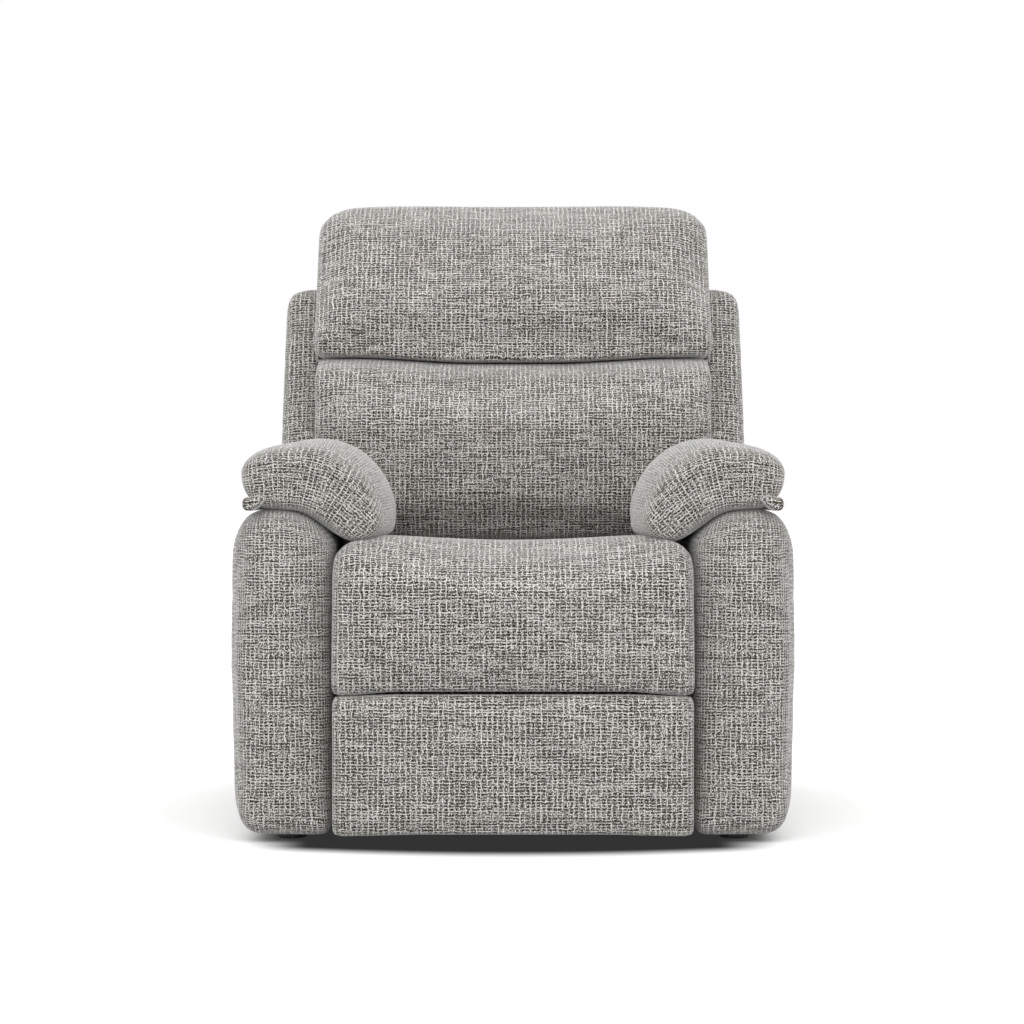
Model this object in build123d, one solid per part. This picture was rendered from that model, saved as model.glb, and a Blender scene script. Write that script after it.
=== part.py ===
from build123d import *
import math
import os

# A recliner armchair, in millimetres. +Z is up, the chair faces -Y and X runs across it.
# The origin is on the floor, under the middle of the chair.
# Soft pieces are plain closed solids. Frames, links, pins and tracks are at their real size.

# Overall sizes
overall_width = 900  # across the bulge of the two arms
overall_depth = 930  # seat front to the rear of the outer back
overall_height = 1080
floor_gap = 20  # from the floor to the lowest upholstery
fit = 0.3  # gap between pieces that rest on each other
pin_play = 0.05  # radial play of a pivot pin in its hole

half_width = overall_width / 2
front_y = -overall_depth / 2
rear_y = overall_depth / 2

# Arms
arm_inner_x = half_width - 168
arm_side_top_x = half_width - 6
arm_side_low_x = half_width - 4
arm_bulge_z = 300
arm_front_y = front_y + 33
arm_rear_y = rear_y - 135
arm_top_z = 527
arm_rear_round = 150  # lets the reclining back pass over the arm
arm_inner_shoulder = 56
arm_outer_shoulder = 42
arm_foot_round = 30
arm_edge_round = 18
arm_foam = 18  # foam and fabric inside the seat space
panel_thick = 18
post_thick = 35
arm_frame_x = arm_inner_x + arm_foam
arm_frame_wide = 112
arm_frame_front_y = arm_front_y + 32
arm_frame_rear_y = arm_rear_y - 30
arm_frame_top_z = 480
arm_frame_slope_y = arm_rear_y - 150
arm_frame_rear_z = 400

# Arm pads
pad_front_y = front_y + 13
pad_rear_y = rear_y - 470
pad_end_round = 22
pad_clear = 1  # above the arm
flap_radius = 8
flap_x = half_width - 26
flap_z = arm_top_z + 3

# Floor glides
glide_radius = 24
glide_stem_radius = 6
glide_edge = 2
glide_inset = 45
glide_x = arm_inner_x + 74

# Base between the arms
base_rail_thick = 18
base_rail_low_z = 40
base_rail_high_z = 118
base_rail_front_y = front_y + 135
base_rail_rear_y = rear_y - 370
base_rail_x = arm_inner_x - 2 - base_rail_thick
cross_rail_low_z = 44
cross_rail_high_z = 80
cross_rail_thick = 24
cross_rail_ys = (front_y + 333, base_rail_rear_y - 12)  # rear faces
bolt_radius = 4
bolt_head_radius = 9
bolt_head_thick = 5
arm_bolt_ys = (front_y + 285, front_y + 405, base_rail_rear_y - 55)
arm_bolt_z = 60

# Slide tracks and shoes
steel = 4
track_wall = 2
track_low_z = 84
track_tall = 30
track_deep = 9
track_front_y = front_y + 275
track_rear_y = base_rail_rear_y - 2
shoe_long = 60
shoe_ys = (front_y + 355, base_rail_rear_y - 37)
shoe_boss_radius = 7

# Seat carriage
plate_outer_x = arm_inner_x - 30
plate_low_z = 240
plate_leg_wide = 36
plate_nose = 32
plate_tail = 40
seat_rail_thick = 22
seat_rail_low_z = 276
seat_front_rail_rear_y = front_y + 84
seat_rail_high_z = 338
seat_rail_rear_y = base_rail_rear_y - 35
seat_front_rail_low_z = 250
seat_half_width = arm_inner_x - 3
seat_bottom_z = 242
seat_crown_z = 477
seat_crown_y = front_y + 135
seat_rear_z = 458
seat_rear_y = rear_y - 465
seat_deck_z = 352  # underside of the cushion, over the springs
seat_border_thick = 62
seat_front_round = 62
seat_side_round = 34
cross_tube_radius = 12.5
tube_wall = 2
cross_tube_z = 258
cross_tube_ys = (front_y + 385, seat_rail_rear_y - 20)

# Sinuous springs
wire_radius = 1.9
spring_bend = 16
spring_amplitude = 24
seat_spring_gap = (plate_outer_x - 68) / 2
seat_spring_xs = [n * seat_spring_gap for n in (-2, -1, 0, 1, 2)]
back_spring_xs = (-150, -50, 50, 150)
clip_size = (16, 12, 1.5)

# Footrest linkage. Each side has two parallelograms, so every link turns by the same
# angle as the front link, one way or the other, or keeps its direction.
link_width = 22
link_length = 190
link_folded_angle = 106  # degrees from straight ahead, downward
pin_radius = 4.5
pin_head_radius = 8
pin_head = 3
front_pivot = (front_y + 155, 228)  # front link on the seat plate: y, z
plate_offset = (30, -12)  # from the front link's pivots to the rear link's
footrest_pivot = (front_y + 77, 170)  # lower link on the footrest bracket
bracket_offset = (-8, 50)  # from the lower link's pivots to the upper link's
drive_offset = (-30, 0)  # from the front pivot to the drive tube
drive_tube_radius = 11
layer_gap = 1

# Footrest
footrest_half_width = arm_inner_x - 4
footrest_top_z = 236
footrest_thick = 49
board_thick = 15
board_inset = 12
bracket_flange = 32
bracket_low_z = 120

# Back
back_lean = 14  # degrees
back_hinge = (rear_y - 300, 300)  # y, z
hinge_pin_radius = 6
hinge_head_radius = 10
hinge_eye = 18
back_bracket_corners = ((3, 250), (3, 400), (37, 400), (37, 250))  # behind the frame's front, z
frame_front_y = rear_y - 295  # front face of the back frame at frame_ref_z
frame_ref_z = 300
rail_thick = 40
stile_outer_x = arm_inner_x - 39
stile_wide = 40
stile_low_z = 240
frame_high_z = 1030
wing_inner_x = arm_inner_x + 79
post_outer_x = wing_inner_x - fit
post_wide = 34
post_low_z = 575
post_high_z = 915
wing_rail_zs = (600, 840)
back_rail_zs = (300, 970)
rail_tall = 60
back_narrow_x = arm_inner_x - 10  # below the arms' tops
back_wide_x = arm_inner_x + 76  # above them
back_wide_z = 552
lumbar_low_z = 452
lumbar_half_width = arm_inner_x + 70
seam_z = 790
cushion_gap = 3
lumbar_front = [(rear_y - 453, lumbar_low_z), (rear_y - 465, 552), (rear_y - 465, 700),
                (rear_y - 435, 760), (rear_y - 390, seam_z - cushion_gap)]  # y, z, going up
head_half_width = back_wide_x
head_side_round = 55
head_rear_round = 40
cheek_inner_x = stile_outer_x + 7  # beside the frame, over the wings
head_rear_y = rear_y
head_front = [(rear_y - 393, seam_z + cushion_gap), (rear_y - 367, 856),
              (rear_y - 325, overall_height - 90), (rear_y - 287, overall_height - 16),
              (rear_y - 263, overall_height)]
panel_low_z = 110
panel_high_z = 1030
panel_low_y = rear_y - 168
panel_high_y = rear_y
back_panel_thick = 22
wing_outer_x = wing_inner_x + 61
wing_low_z = 556
wing_high_z = 929
wing_front_low_y = rear_y - 353
wing_front_high_y = rear_y - 227
wing_round = 30

# Release handle on the outside of the left arm
handle_y = front_y + 345
handle_z = 400
bezel_long = 120
bezel_tall = 76
bezel_wall = 2.5
bezel_deep = 30
bezel_outer_x = half_width - 0.5
lever_long = 104
lever_tall = 46
lever_thick = 5
lever_pin_radius = 2.5
lever_hinge_z = handle_z + 27
lever_knuckle = 5
cable_radius = 2.5
cable_inner_x = glide_x
cable_end_z = 155
cable_end_x = arm_inner_x + 1.5

# Trip lever on the left base rail
trip_x = arm_inner_x - 11
trip_y = handle_y
trip_z = 132
trip_thick = 4
trip_wide = 7
trip_nose_x = plate_outer_x + 2


def save(name, *solids):
    """Writes one node, from one solid or a group of separate ones."""
    flat = [s for shape in solids for s in shape.solids()]
    export_step(flat[0] if len(flat) == 1 else Compound(children=flat), f"parts/{name}.step")


def mirrored(shape):
    return mirror(shape, about=Plane.YZ)


def save_pair(name, left):
    """The left piece, on the +X side, and its mirror image."""
    save(name + "_left", left)
    save(name + "_right", mirrored(left))


def save_both_sides(name, *left):
    """One group of like pieces, from both sides of the chair."""
    save(name, *left, *[mirrored(piece) for piece in left])


def block(x0, x1, y0, y1, z0, z1):
    return Pos((x0 + x1) / 2, (y0 + y1) / 2, (z0 + z1) / 2) * Box(x1 - x0, y1 - y0, z1 - z0)


def rect(y0, y1, z0, z1):
    return Pos((y0 + y1) / 2, (z0 + z1) / 2) * Rectangle(y1 - y0, z1 - z0)


def side_slab(sketch, x0, x1):
    """A sketch of y and z, as thick as x0 to x1."""
    return Pos(x0, 0, 0) * extrude(Plane.YZ * sketch, x1 - x0)


def front_slab(sketch, y0, y1):
    """A sketch of x and z, as deep as y0 to y1."""
    return Pos(0, y1, 0) * extrude(Plane.XZ * sketch, y1 - y0)


def polygon(*points):
    return make_face(Polyline(*points, close=True))


def round_corner(sketch, point, radius):
    corner = sketch.vertices().sort_by_distance((point[0], point[1], 0))[0]
    return fillet(corner, radius)


def cross_bar(radius, y, z, x0, x1):
    return Pos((x0 + x1) / 2, y, z) * Rot(0, 90, 0) * Cylinder(radius, abs(x1 - x0))


def headed_pin(radius, point, x_flush, x_head, head_radius, head):
    """A pin along X, flush at one end, with a round head beyond the other."""
    out = math.copysign(head, x_head - x_flush)
    shank = cross_bar(radius, *point, x_flush, x_head)
    return shank + cross_bar(head_radius, *point, x_head, x_head + out)


def tube(radius, y, z, half_length):
    outer = cross_bar(radius, y, z, -half_length, half_length)
    return outer - cross_bar(radius - tube_wall, y, z, -half_length, half_length)


def plus(point, offset):
    return (point[0] + offset[0], point[1] + offset[1])


def strip(points, width):
    """A flat bar with round ends along a chain of points of y and z."""
    sketch = Sketch()
    for (y0, z0), (y1, z1) in zip(points, points[1:]):
        long = math.hypot(y1 - y0, z1 - z0)
        tilt = math.degrees(math.atan2(z1 - z0, y1 - y0))
        middle = Pos((y0 + y1) / 2, (z0 + z1) / 2)
        sketch += middle * Rot(0, 0, tilt) * SlotCenterToCenter(long, width)
    return sketch


def drilled(sketch, points, radius):
    for y, z in points:
        sketch -= Pos(y, z) * Circle(radius)
    return sketch


def sinuous_spring(length):
    """A zigzag wire along +Y from the origin, in the plane of X and Y."""
    pitch = 2 * spring_bend
    side = spring_amplitude - spring_bend
    runs = int(length // pitch)
    wire = []
    for i in range(runs):
        hand = 1 if i % 2 else -1
        y = (i + 0.5) * length / runs
        ahead = length / runs
        wire.append(Line((-hand * side, y), (hand * side, y)))
        if i < runs - 1:
            bend = (hand * (side + ahead / 2), y + ahead / 2)
            wire.append(ThreePointArc((hand * side, y), bend, (hand * side, y + ahead)))
    path = Wire(Curve() + wire)
    start = Plane(origin=path @ 0, z_dir=path % 0)
    return sweep(start * Circle(wire_radius), path=path)


def frame_line(z):
    """The front face of the back frame, as y at a height z."""
    return frame_front_y + (z - frame_ref_z) * math.tan(math.radians(back_lean))


def panel_line(z):
    """The rear face of the outer back, as y at a height z."""
    slope = (panel_high_y - panel_low_y) / (panel_high_z - panel_low_z)
    return panel_low_y + (z - panel_low_z) * slope


def board_line(z):
    """The front face of the outer back, where the stiles and posts end."""
    return panel_line(z) - back_panel_thick


def back_board(z0, z1, x0, x1):
    """An upright board of the back, as deep as the back frame."""
    front = [(frame_line(z), z) for z in (z0, z1)]
    rear = [(board_line(z), z) for z in (z1, z0)]
    return side_slab(polygon(*front, *rear), x0, x1)


def back_panel(z0, z1, x):
    """A part of the outer back, from -x to x."""
    face = polygon((board_line(z0), z0), (panel_line(z0), z0), (panel_line(z1), z1),
                   (board_line(z1), z1))
    return side_slab(face, -x, x)


def round_topped(x, z0, z1, radius):
    """A deep block from -x to x with its upper edges rounded, to trim a cushion by."""
    face = polygon((-x, z0), (-x, z1), (x, z1), (x, z0))
    for side in (-x, x):
        face = round_corner(face, (side, z1), radius)
    return front_slab(face, front_y - floor_gap, rear_y + floor_gap)


def back_rail(z, x):
    """A cross rail behind the springs, from -x to x."""
    lower, upper = frame_line(z), frame_line(z + rail_tall)
    face = polygon((lower, z), (upper, z + rail_tall), (upper + rail_thick, z + rail_tall),
                   (lower + rail_thick, z))
    return side_slab(face, -x, x)


os.makedirs("parts", exist_ok=True)

# Cable from the handle to the trip lever
bezel_inner_x = bezel_outer_x - bezel_deep
cable_points = [
    (bezel_inner_x, handle_y, handle_z),
    (cable_inner_x, handle_y, handle_z),
    (cable_inner_x, handle_y, cable_end_z),
    (cable_end_x, handle_y, cable_end_z),
]
cable_bend = 0.45 * (bezel_inner_x - cable_inner_x)
print("cable bend radii:", round(cable_bend, 2), "mm at both corners")
cable_path = FilletPolyline(*cable_points, radius=cable_bend)


def along_cable(radius):
    start = Plane(origin=cable_path @ 0, z_dir=cable_path % 0)
    return sweep(start * Circle(radius), path=cable_path)


save("release_cable", along_cable(cable_radius))
cable_way = along_cable(cable_radius + fit)

# Arm frames: closed boxes of plywood and board
frame_outer_x = arm_frame_x + arm_frame_wide
frame_low_z = floor_gap + arm_foam
between = (arm_frame_x + panel_thick, frame_outer_x - panel_thick)
panel_face = polygon(
    (arm_frame_front_y, frame_low_z),
    (arm_frame_front_y, arm_frame_top_z),
    (arm_frame_slope_y, arm_frame_top_z),
    (arm_frame_rear_y, arm_frame_rear_z),
    (arm_frame_rear_y, frame_low_z),
)
inner_panel = side_slab(panel_face, arm_frame_x, between[0])
outer_panel = side_slab(panel_face, between[1], frame_outer_x)
front_post_y = arm_frame_front_y + post_thick
rear_post_y = arm_frame_rear_y - post_thick
rear_post_top_z = arm_frame_rear_z
rail_top_z = frame_low_z + panel_thick
front_post = block(*between, arm_frame_front_y, front_post_y, frame_low_z, arm_frame_top_z)
rear_post = block(*between, rear_post_y, arm_frame_rear_y, frame_low_z, rear_post_top_z)
top_board = block(*between, front_post_y, arm_frame_slope_y, arm_frame_top_z - panel_thick,
                  arm_frame_top_z)
bottom_rail = block(*between, front_post_y, rear_post_y, frame_low_z, rail_top_z)

# Bolts through the base rails into the inner panels
bolt_heads_x = base_rail_x
bolts = [
    headed_pin(bolt_radius, (y, arm_bolt_z), between[0], bolt_heads_x, bolt_head_radius,
               bolt_head_thick)
    for y in arm_bolt_ys
]
save_both_sides("arm_bolts", *bolts)
bolt_holes = [
    cross_bar(bolt_radius + pin_play, y, arm_bolt_z, bolt_heads_x, between[0])
    for y in arm_bolt_ys
]
for hole in bolt_holes:
    inner_panel -= hole

save("arm_inner_panels", inner_panel - cable_way, mirrored(inner_panel))
save("arm_outer_panels", outer_panel - cable_way, mirrored(outer_panel))
save_both_sides("arm_front_posts", front_post)
save_both_sides("arm_rear_posts", rear_post)
save_both_sides("arm_top_boards", top_board)
save_both_sides("arm_bottom_rails", bottom_rail)

# Glides under the arms
glides = []
for y in (arm_frame_front_y + glide_inset, arm_frame_rear_y - glide_inset):
    foot = Pos(glide_x, y, floor_gap / 2) * Cylinder(glide_radius, floor_gap)
    foot = chamfer(foot.edges().group_by(Axis.Z)[0], glide_edge)
    stem = Pos(glide_x, y, (floor_gap + frame_low_z) / 2) * Cylinder(glide_stem_radius, arm_foam)
    glides.append(foot + stem)
save_both_sides("floor_glides", *glides)

# Upholstered arms, filled around their frames
outer_side = ThreePointArc((arm_side_top_x, arm_top_z), (half_width, arm_bulge_z),
                           (arm_side_low_x, floor_gap))
inner_side = Polyline(outer_side @ 1, (arm_inner_x, floor_gap), (arm_inner_x, arm_top_z),
                      outer_side @ 0)
arm_face = make_face(Curve() + [outer_side, inner_side])
arm_face = round_corner(arm_face, (arm_inner_x, arm_top_z), arm_inner_shoulder)
arm_face = round_corner(arm_face, (arm_side_top_x, arm_top_z), arm_outer_shoulder)
arm_face = round_corner(arm_face, (arm_side_low_x, floor_gap), arm_foot_round)
arm_block = front_slab(arm_face, arm_front_y, arm_rear_y)
front_edges = arm_block.faces().sort_by(Axis.Y)[0].edges()
arm_block = fillet(front_edges, arm_edge_round)
side_face = rect(arm_front_y, arm_rear_y, floor_gap, arm_top_z)
side_face = round_corner(side_face, (arm_rear_y, arm_top_z), arm_rear_round)
arm_block &= side_slab(side_face, arm_inner_x, half_width)
frame_pieces = [inner_panel, outer_panel, front_post, rear_post, top_board, bottom_rail]
for piece in frame_pieces + bolt_holes + glides:
    arm_block -= piece
handle_recess = block(bezel_inner_x - fit, half_width, handle_y - bezel_long / 2 - fit,
                      handle_y + bezel_long / 2 + fit, handle_z - bezel_tall / 2 - fit,
                      handle_z + bezel_tall / 2 + fit)
save("arm_body_left", arm_block - handle_recess - cable_way)
save("arm_body_right", mirrored(arm_block))

# Arm pads: arched pillows that droop over the inside of the arms
pad_points = [  # x from the inner side of the arm, z from its top
    (20, 113), (70, 109), (118, 92), (144, 67), (148, 41), (138, 21), (114, 9), (63, 2),
    (26, -8), (-2, -33), (-30, -43), (-66, -40), (-91, -24), (-98, 0), (-90, 33), (-66, 73),
    (-28, 104),
]
pad_outline = [(arm_inner_x + x, arm_top_z + z) for x, z in pad_points]
pad_face = make_face(Spline(*pad_outline, periodic=True))
pad = front_slab(pad_face, pad_front_y, pad_rear_y)
pad = fillet(pad.faces().group_by(Axis.Y)[0].edges(), pad_end_round)
pad -= front_slab(offset(arm_face, pad_clear), arm_front_y, arm_rear_y)
save_pair("arm_pad", max(pad.solids(), key=lambda solid: solid.volume))

# Rolled edge of fabric under the outer side of each pad
flap = Pos(flap_x, (pad_front_y + pad_rear_y) / 2, flap_z) * Rot(90, 0, 0)
flap *= Cylinder(flap_radius, pad_rear_y - pad_front_y)
flap = fillet(flap.edges().filter_by(GeomType.CIRCLE), flap_radius / 2)
flap -= front_slab(offset(arm_face, pad_clear), arm_front_y - panel_thick, arm_rear_y)
flap -= front_slab(offset(pad_face, pad_clear), pad_front_y - panel_thick, pad_rear_y)
save_pair("arm_flap", max(flap.solids(), key=lambda solid: solid.volume))

# Release handle: a cup in the side of the left arm and a sprung paddle in it
cup = block(bezel_inner_x, bezel_outer_x, handle_y - bezel_long / 2, handle_y + bezel_long / 2,
            handle_z - bezel_tall / 2, handle_z + bezel_tall / 2)
hollow = block(bezel_inner_x + bezel_wall, bezel_outer_x,
               handle_y - bezel_long / 2 + bezel_wall, handle_y + bezel_long / 2 - bezel_wall,
               handle_z - bezel_tall / 2 + bezel_wall, handle_z + bezel_tall / 2 - bezel_wall)
lever_x = bezel_outer_x - lever_knuckle - 2


def along_y(radius, x, z, length):
    return Pos(x, handle_y, z) * Rot(90, 0, 0) * Cylinder(radius, length)


cup -= hollow
cup -= along_y(lever_pin_radius + pin_play, lever_x, lever_hinge_z, bezel_long)
save("release_bezel", cup)
paddle = block(lever_x, lever_x + lever_thick, handle_y - lever_long / 2,
               handle_y + lever_long / 2, lever_hinge_z - lever_tall, lever_hinge_z)
lever = paddle + along_y(lever_knuckle, lever_x, lever_hinge_z, lever_long)
lever += along_y(lever_pin_radius, lever_x, lever_hinge_z, bezel_long)
save("release_lever", lever)

# Trip lever and its bracket on the left base rail
ear_wide = trip_thick
ear_y = trip_y + trip_thick / 2 + layer_gap / 2
trip_bracket = block(trip_x - trip_wide, trip_x + trip_wide, ear_y, ear_y + ear_wide,
                     base_rail_high_z, trip_z + trip_wide)
trip_bracket += block(trip_x - trip_wide, trip_x + trip_wide, ear_y, ear_y + bracket_flange,
                      base_rail_high_z, base_rail_high_z + steel)


def trip_pin(radius, y0, y1):
    return Pos(trip_x, (y0 + y1) / 2, trip_z) * Rot(90, 0, 0) * Cylinder(radius, y1 - y0)


trip_front_y = trip_y - trip_thick / 2
trip_rear_y = trip_y + trip_thick / 2
trip_axle = trip_pin(lever_pin_radius, trip_front_y, ear_y + ear_wide)
save("trip_bracket", (trip_bracket - trip_axle) + trip_axle)
trip_lever = block(trip_x - trip_wide / 2, trip_x + trip_wide / 2, trip_front_y, trip_rear_y,
                   trip_z - trip_wide / 2, cable_end_z + trip_wide)
trip_lever += block(trip_nose_x, trip_x, trip_front_y, trip_rear_y, cable_end_z,
                    cable_end_z + trip_wide)
trip_lever += trip_pin(trip_wide - layer_gap, trip_front_y, trip_rear_y)
save("trip_lever", trip_lever - trip_pin(lever_pin_radius + pin_play, trip_front_y, trip_rear_y))

# Base rails, cross rails and slide tracks
base_rail = block(base_rail_x, base_rail_x + base_rail_thick, base_rail_front_y,
                  base_rail_rear_y, base_rail_low_z, base_rail_high_z)
for hole in bolt_holes:
    base_rail -= hole
save_both_sides("base_side_rails", base_rail)
save("base_cross_rails", *[block(-base_rail_x, base_rail_x, y - cross_rail_thick, y,
                                 cross_rail_low_z, cross_rail_high_z) for y in cross_rail_ys])
track_high_z = track_low_z + track_tall
track = block(base_rail_x - track_deep, base_rail_x, track_front_y, track_rear_y, track_low_z,
              track_high_z)
track -= block(base_rail_x - track_deep, base_rail_x - track_wall, track_front_y, track_rear_y,
               track_low_z + track_wall, track_high_z - track_wall)
save_both_sides("slide_tracks", track)

# Slide shoes on the seat plates
shoe_z = track_low_z + track_tall / 2
shoe_low_z = track_low_z + track_wall + fit
shoe_high_z = track_high_z - track_wall - fit
shoes = []
for y in shoe_ys:
    shoe = block(base_rail_x - track_deep + fit, base_rail_x - track_wall - fit,
                 y - shoe_long / 2, y + shoe_long / 2, shoe_low_z, shoe_high_z)
    shoe += cross_bar(shoe_boss_radius, y, shoe_z, plate_outer_x, base_rail_x - track_deep + 1)
    shoes.append(shoe)
save_both_sides("slide_shoes", *shoes)

# Layers of the linkage, from the middle of the chair outwards
plate_inner_x = plate_outer_x - steel
inner_layer = (plate_inner_x - layer_gap - steel, plate_inner_x - layer_gap)
plate_layer = (plate_inner_x, plate_outer_x)
outer_layer = (plate_outer_x + layer_gap, plate_outer_x + layer_gap + steel)

# Seat plates
rear_pivot = plus(front_pivot, plate_offset)
plate = rect(front_pivot[0] - plate_nose / 2, seat_rail_rear_y, plate_low_z, seat_rail_high_z)
plate += strip([front_pivot, rear_pivot], plate_nose)
plate += rect(front_pivot[0] - plate_nose / 2, rear_pivot[0] + plate_nose / 2, front_pivot[1],
              seat_rail_low_z)
plate += strip([(seat_rail_rear_y - plate_tail, back_hinge[1]), back_hinge], plate_tail)
for y in shoe_ys:
    plate += rect(y - plate_leg_wide / 2, y + plate_leg_wide / 2, track_low_z, seat_rail_low_z)
plate = drilled(plate, [front_pivot, rear_pivot], pin_radius)
plate = drilled(plate, [back_hinge], hinge_pin_radius)
save_both_sides("seat_plates", side_slab(plate, *plate_layer))
save("cross_tubes", *[tube(cross_tube_radius, y, cross_tube_z, plate_inner_x)
                      for y in cross_tube_ys])
hinge_pin = headed_pin(hinge_pin_radius, back_hinge, inner_layer[0], plate_outer_x,
                       hinge_head_radius, pin_head)
save_both_sides("back_hinge_pins", hinge_pin)

# Links
a = math.radians(link_folded_angle)
front_elbow = plus(front_pivot, (-link_length * math.cos(a), -link_length * math.sin(a)))
rear_elbow = plus(front_elbow, plate_offset)
upper_elbow = plus(front_elbow, bracket_offset)
upper_footrest_pivot = plus(footrest_pivot, bracket_offset)
drive_center = plus(front_pivot, drive_offset)

front_link = strip([drive_center, front_pivot, front_elbow], link_width)
front_link = drilled(front_link, [front_pivot], pin_radius + pin_play)
front_link = drilled(front_link, [front_elbow, upper_elbow], pin_radius)
save_pair("front_link", side_slab(front_link, *inner_layer))
rear_link = strip([rear_pivot, rear_elbow], link_width)
rear_link = drilled(rear_link, [rear_pivot, rear_elbow], pin_radius + pin_play)
save_pair("rear_link", side_slab(rear_link, *outer_layer))
lower_link = strip([rear_elbow, front_elbow, footrest_pivot], link_width)
lower_link = drilled(lower_link, [front_elbow, footrest_pivot], pin_radius + pin_play)
lower_link = drilled(lower_link, [rear_elbow], pin_radius)
save_pair("lower_link", side_slab(lower_link, *plate_layer))
upper_link = strip([upper_elbow, upper_footrest_pivot], link_width)
upper_link = drilled(upper_link, [upper_elbow, upper_footrest_pivot], pin_radius + pin_play)
save_pair("upper_link", side_slab(upper_link, *plate_layer))
save("drive_tube", tube(drive_tube_radius, *drive_center, inner_layer[0]))


def link_pin(point, x_flush, x_head):
    return headed_pin(pin_radius, point, x_flush, x_head, pin_head_radius, pin_head)


save_both_sides("plate_pins", link_pin(front_pivot, plate_outer_x, inner_layer[0]),
                link_pin(rear_pivot, plate_inner_x, outer_layer[1]))
save_both_sides("front_link_pins", link_pin(front_elbow, plate_outer_x, inner_layer[0]),
                link_pin(upper_elbow, plate_outer_x, inner_layer[0]))
save_both_sides("lower_link_pins", link_pin(rear_elbow, plate_inner_x, outer_layer[1]))
save_both_sides("footrest_pins", link_pin(footrest_pivot, plate_outer_x, inner_layer[0]),
                link_pin(upper_footrest_pivot, plate_outer_x, inner_layer[0]))

# Footrest: a board with a padded front, on two angle brackets
footrest_rear_y = front_y + footrest_thick
board = block(-footrest_half_width + board_inset, footrest_half_width - board_inset,
              footrest_rear_y - board_thick, footrest_rear_y, floor_gap + board_inset,
              footrest_top_z - board_inset)
save("footrest_board", board)
pad_block = block(-footrest_half_width, footrest_half_width, front_y, footrest_rear_y, floor_gap,
                  footrest_top_z)
pad_block = fillet(pad_block.faces().sort_by(Axis.Y)[0].edges(), arm_edge_round)
save("footrest_pad", pad_block - board)
bracket_top_z = footrest_top_z - board_inset
web = rect(footrest_rear_y, footrest_pivot[0], bracket_low_z, bracket_top_z)
web += strip([footrest_pivot, upper_footrest_pivot], link_width)
web = drilled(web, [footrest_pivot, upper_footrest_pivot], pin_radius)
bracket = side_slab(web, *inner_layer)
bracket += block(inner_layer[1] - bracket_flange, inner_layer[1], footrest_rear_y,
                 footrest_rear_y + steel, bracket_low_z, bracket_top_z)
save_both_sides("footrest_brackets", bracket)

# Seat frame, springs and cushion
rail_x = plate_inner_x - seat_rail_thick
seat_frame_front_y = front_y + seat_border_thick
side_rail = block(rail_x, plate_inner_x, seat_frame_front_y, seat_rail_rear_y, seat_rail_low_z,
                  seat_rail_high_z)
save_both_sides("seat_side_rails", side_rail)
save("seat_front_rail", block(-rail_x, rail_x, seat_frame_front_y, seat_front_rail_rear_y,
                              seat_front_rail_low_z, seat_rail_high_z))
save("seat_rear_rail", block(-rail_x, rail_x, seat_rail_rear_y - seat_rail_thick,
                             seat_rail_rear_y, seat_rail_low_z, seat_rail_high_z))
seat_spring = sinuous_spring(seat_rail_rear_y - seat_frame_front_y)
seat_spring_z = seat_rail_high_z + fit + wire_radius
save("seat_springs", *[Pos(x, seat_frame_front_y, seat_spring_z) * seat_spring
                       for x in seat_spring_xs])
clip_z = seat_spring_z + wire_radius + fit + clip_size[2] / 2
clip_ys = (seat_frame_front_y + seat_rail_thick / 2, seat_rail_rear_y - seat_rail_thick / 2)
save("seat_spring_clips", *[Pos(x, y, clip_z) * Box(*clip_size)
                            for x in seat_spring_xs for y in clip_ys])
seat_face = polygon(
    (front_y, seat_bottom_z), (front_y, seat_crown_z), (seat_crown_y, seat_crown_z),
    (seat_rear_y, seat_rear_z), (seat_rear_y, seat_deck_z), (seat_frame_front_y, seat_deck_z),
    (seat_frame_front_y, seat_bottom_z),
)
seat_face = round_corner(seat_face, (front_y, seat_crown_z), seat_front_round)
seat_face = round_corner(seat_face, (seat_rear_y, seat_rear_z), seat_side_round)
seat = side_slab(seat_face, -seat_half_width, seat_half_width)
seat &= round_topped(seat_half_width, seat_bottom_z, seat_crown_z, seat_side_round)
save("seat_cushion", seat)

# Back frame and springs
stile = back_board(stile_low_z, frame_high_z, stile_outer_x - stile_wide, stile_outer_x)
save_both_sides("back_stiles", stile)
post = back_board(post_low_z, post_high_z, post_outer_x - post_wide, post_outer_x)
save_both_sides("back_posts", post)
save("back_cross_rails", *[back_rail(z, stile_outer_x - stile_wide) for z in back_rail_zs])
wing_rails = []
for z in wing_rail_zs:
    rail = back_rail(z, post_outer_x - post_wide)
    wing_rails.append(rail & block(stile_outer_x, half_width, 0, rear_y, 0, overall_height))
save_both_sides("back_wing_rails", *wing_rails)
bracket_face = strip([back_hinge, (frame_line(back_hinge[1]) + rail_thick / 2, back_hinge[1])],
                     2 * hinge_eye)
bracket_face += polygon(*[(frame_line(z) + y, z) for y, z in back_bracket_corners])
bracket_face = drilled(bracket_face, [back_hinge], hinge_pin_radius + pin_play)
save_both_sides("back_brackets", side_slab(bracket_face, *inner_layer))
spring_low_z, spring_high_z = back_rail_zs[0], back_rail_zs[1] + rail_tall
back_spring = sinuous_spring((spring_high_z - spring_low_z) / math.cos(math.radians(back_lean)))
back_spring_y = frame_line(spring_low_z) - wire_radius - 2 * fit
save("back_springs", *[Pos(x, back_spring_y, spring_low_z) * Rot(90 - back_lean, 0, 0) * back_spring
                       for x in back_spring_xs])

# Outer back, narrow between the arms and wide above them
save("outer_back", back_panel(panel_low_z, back_wide_z, back_narrow_x)
     + back_panel(back_wide_z, panel_high_z, back_wide_x))

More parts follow.
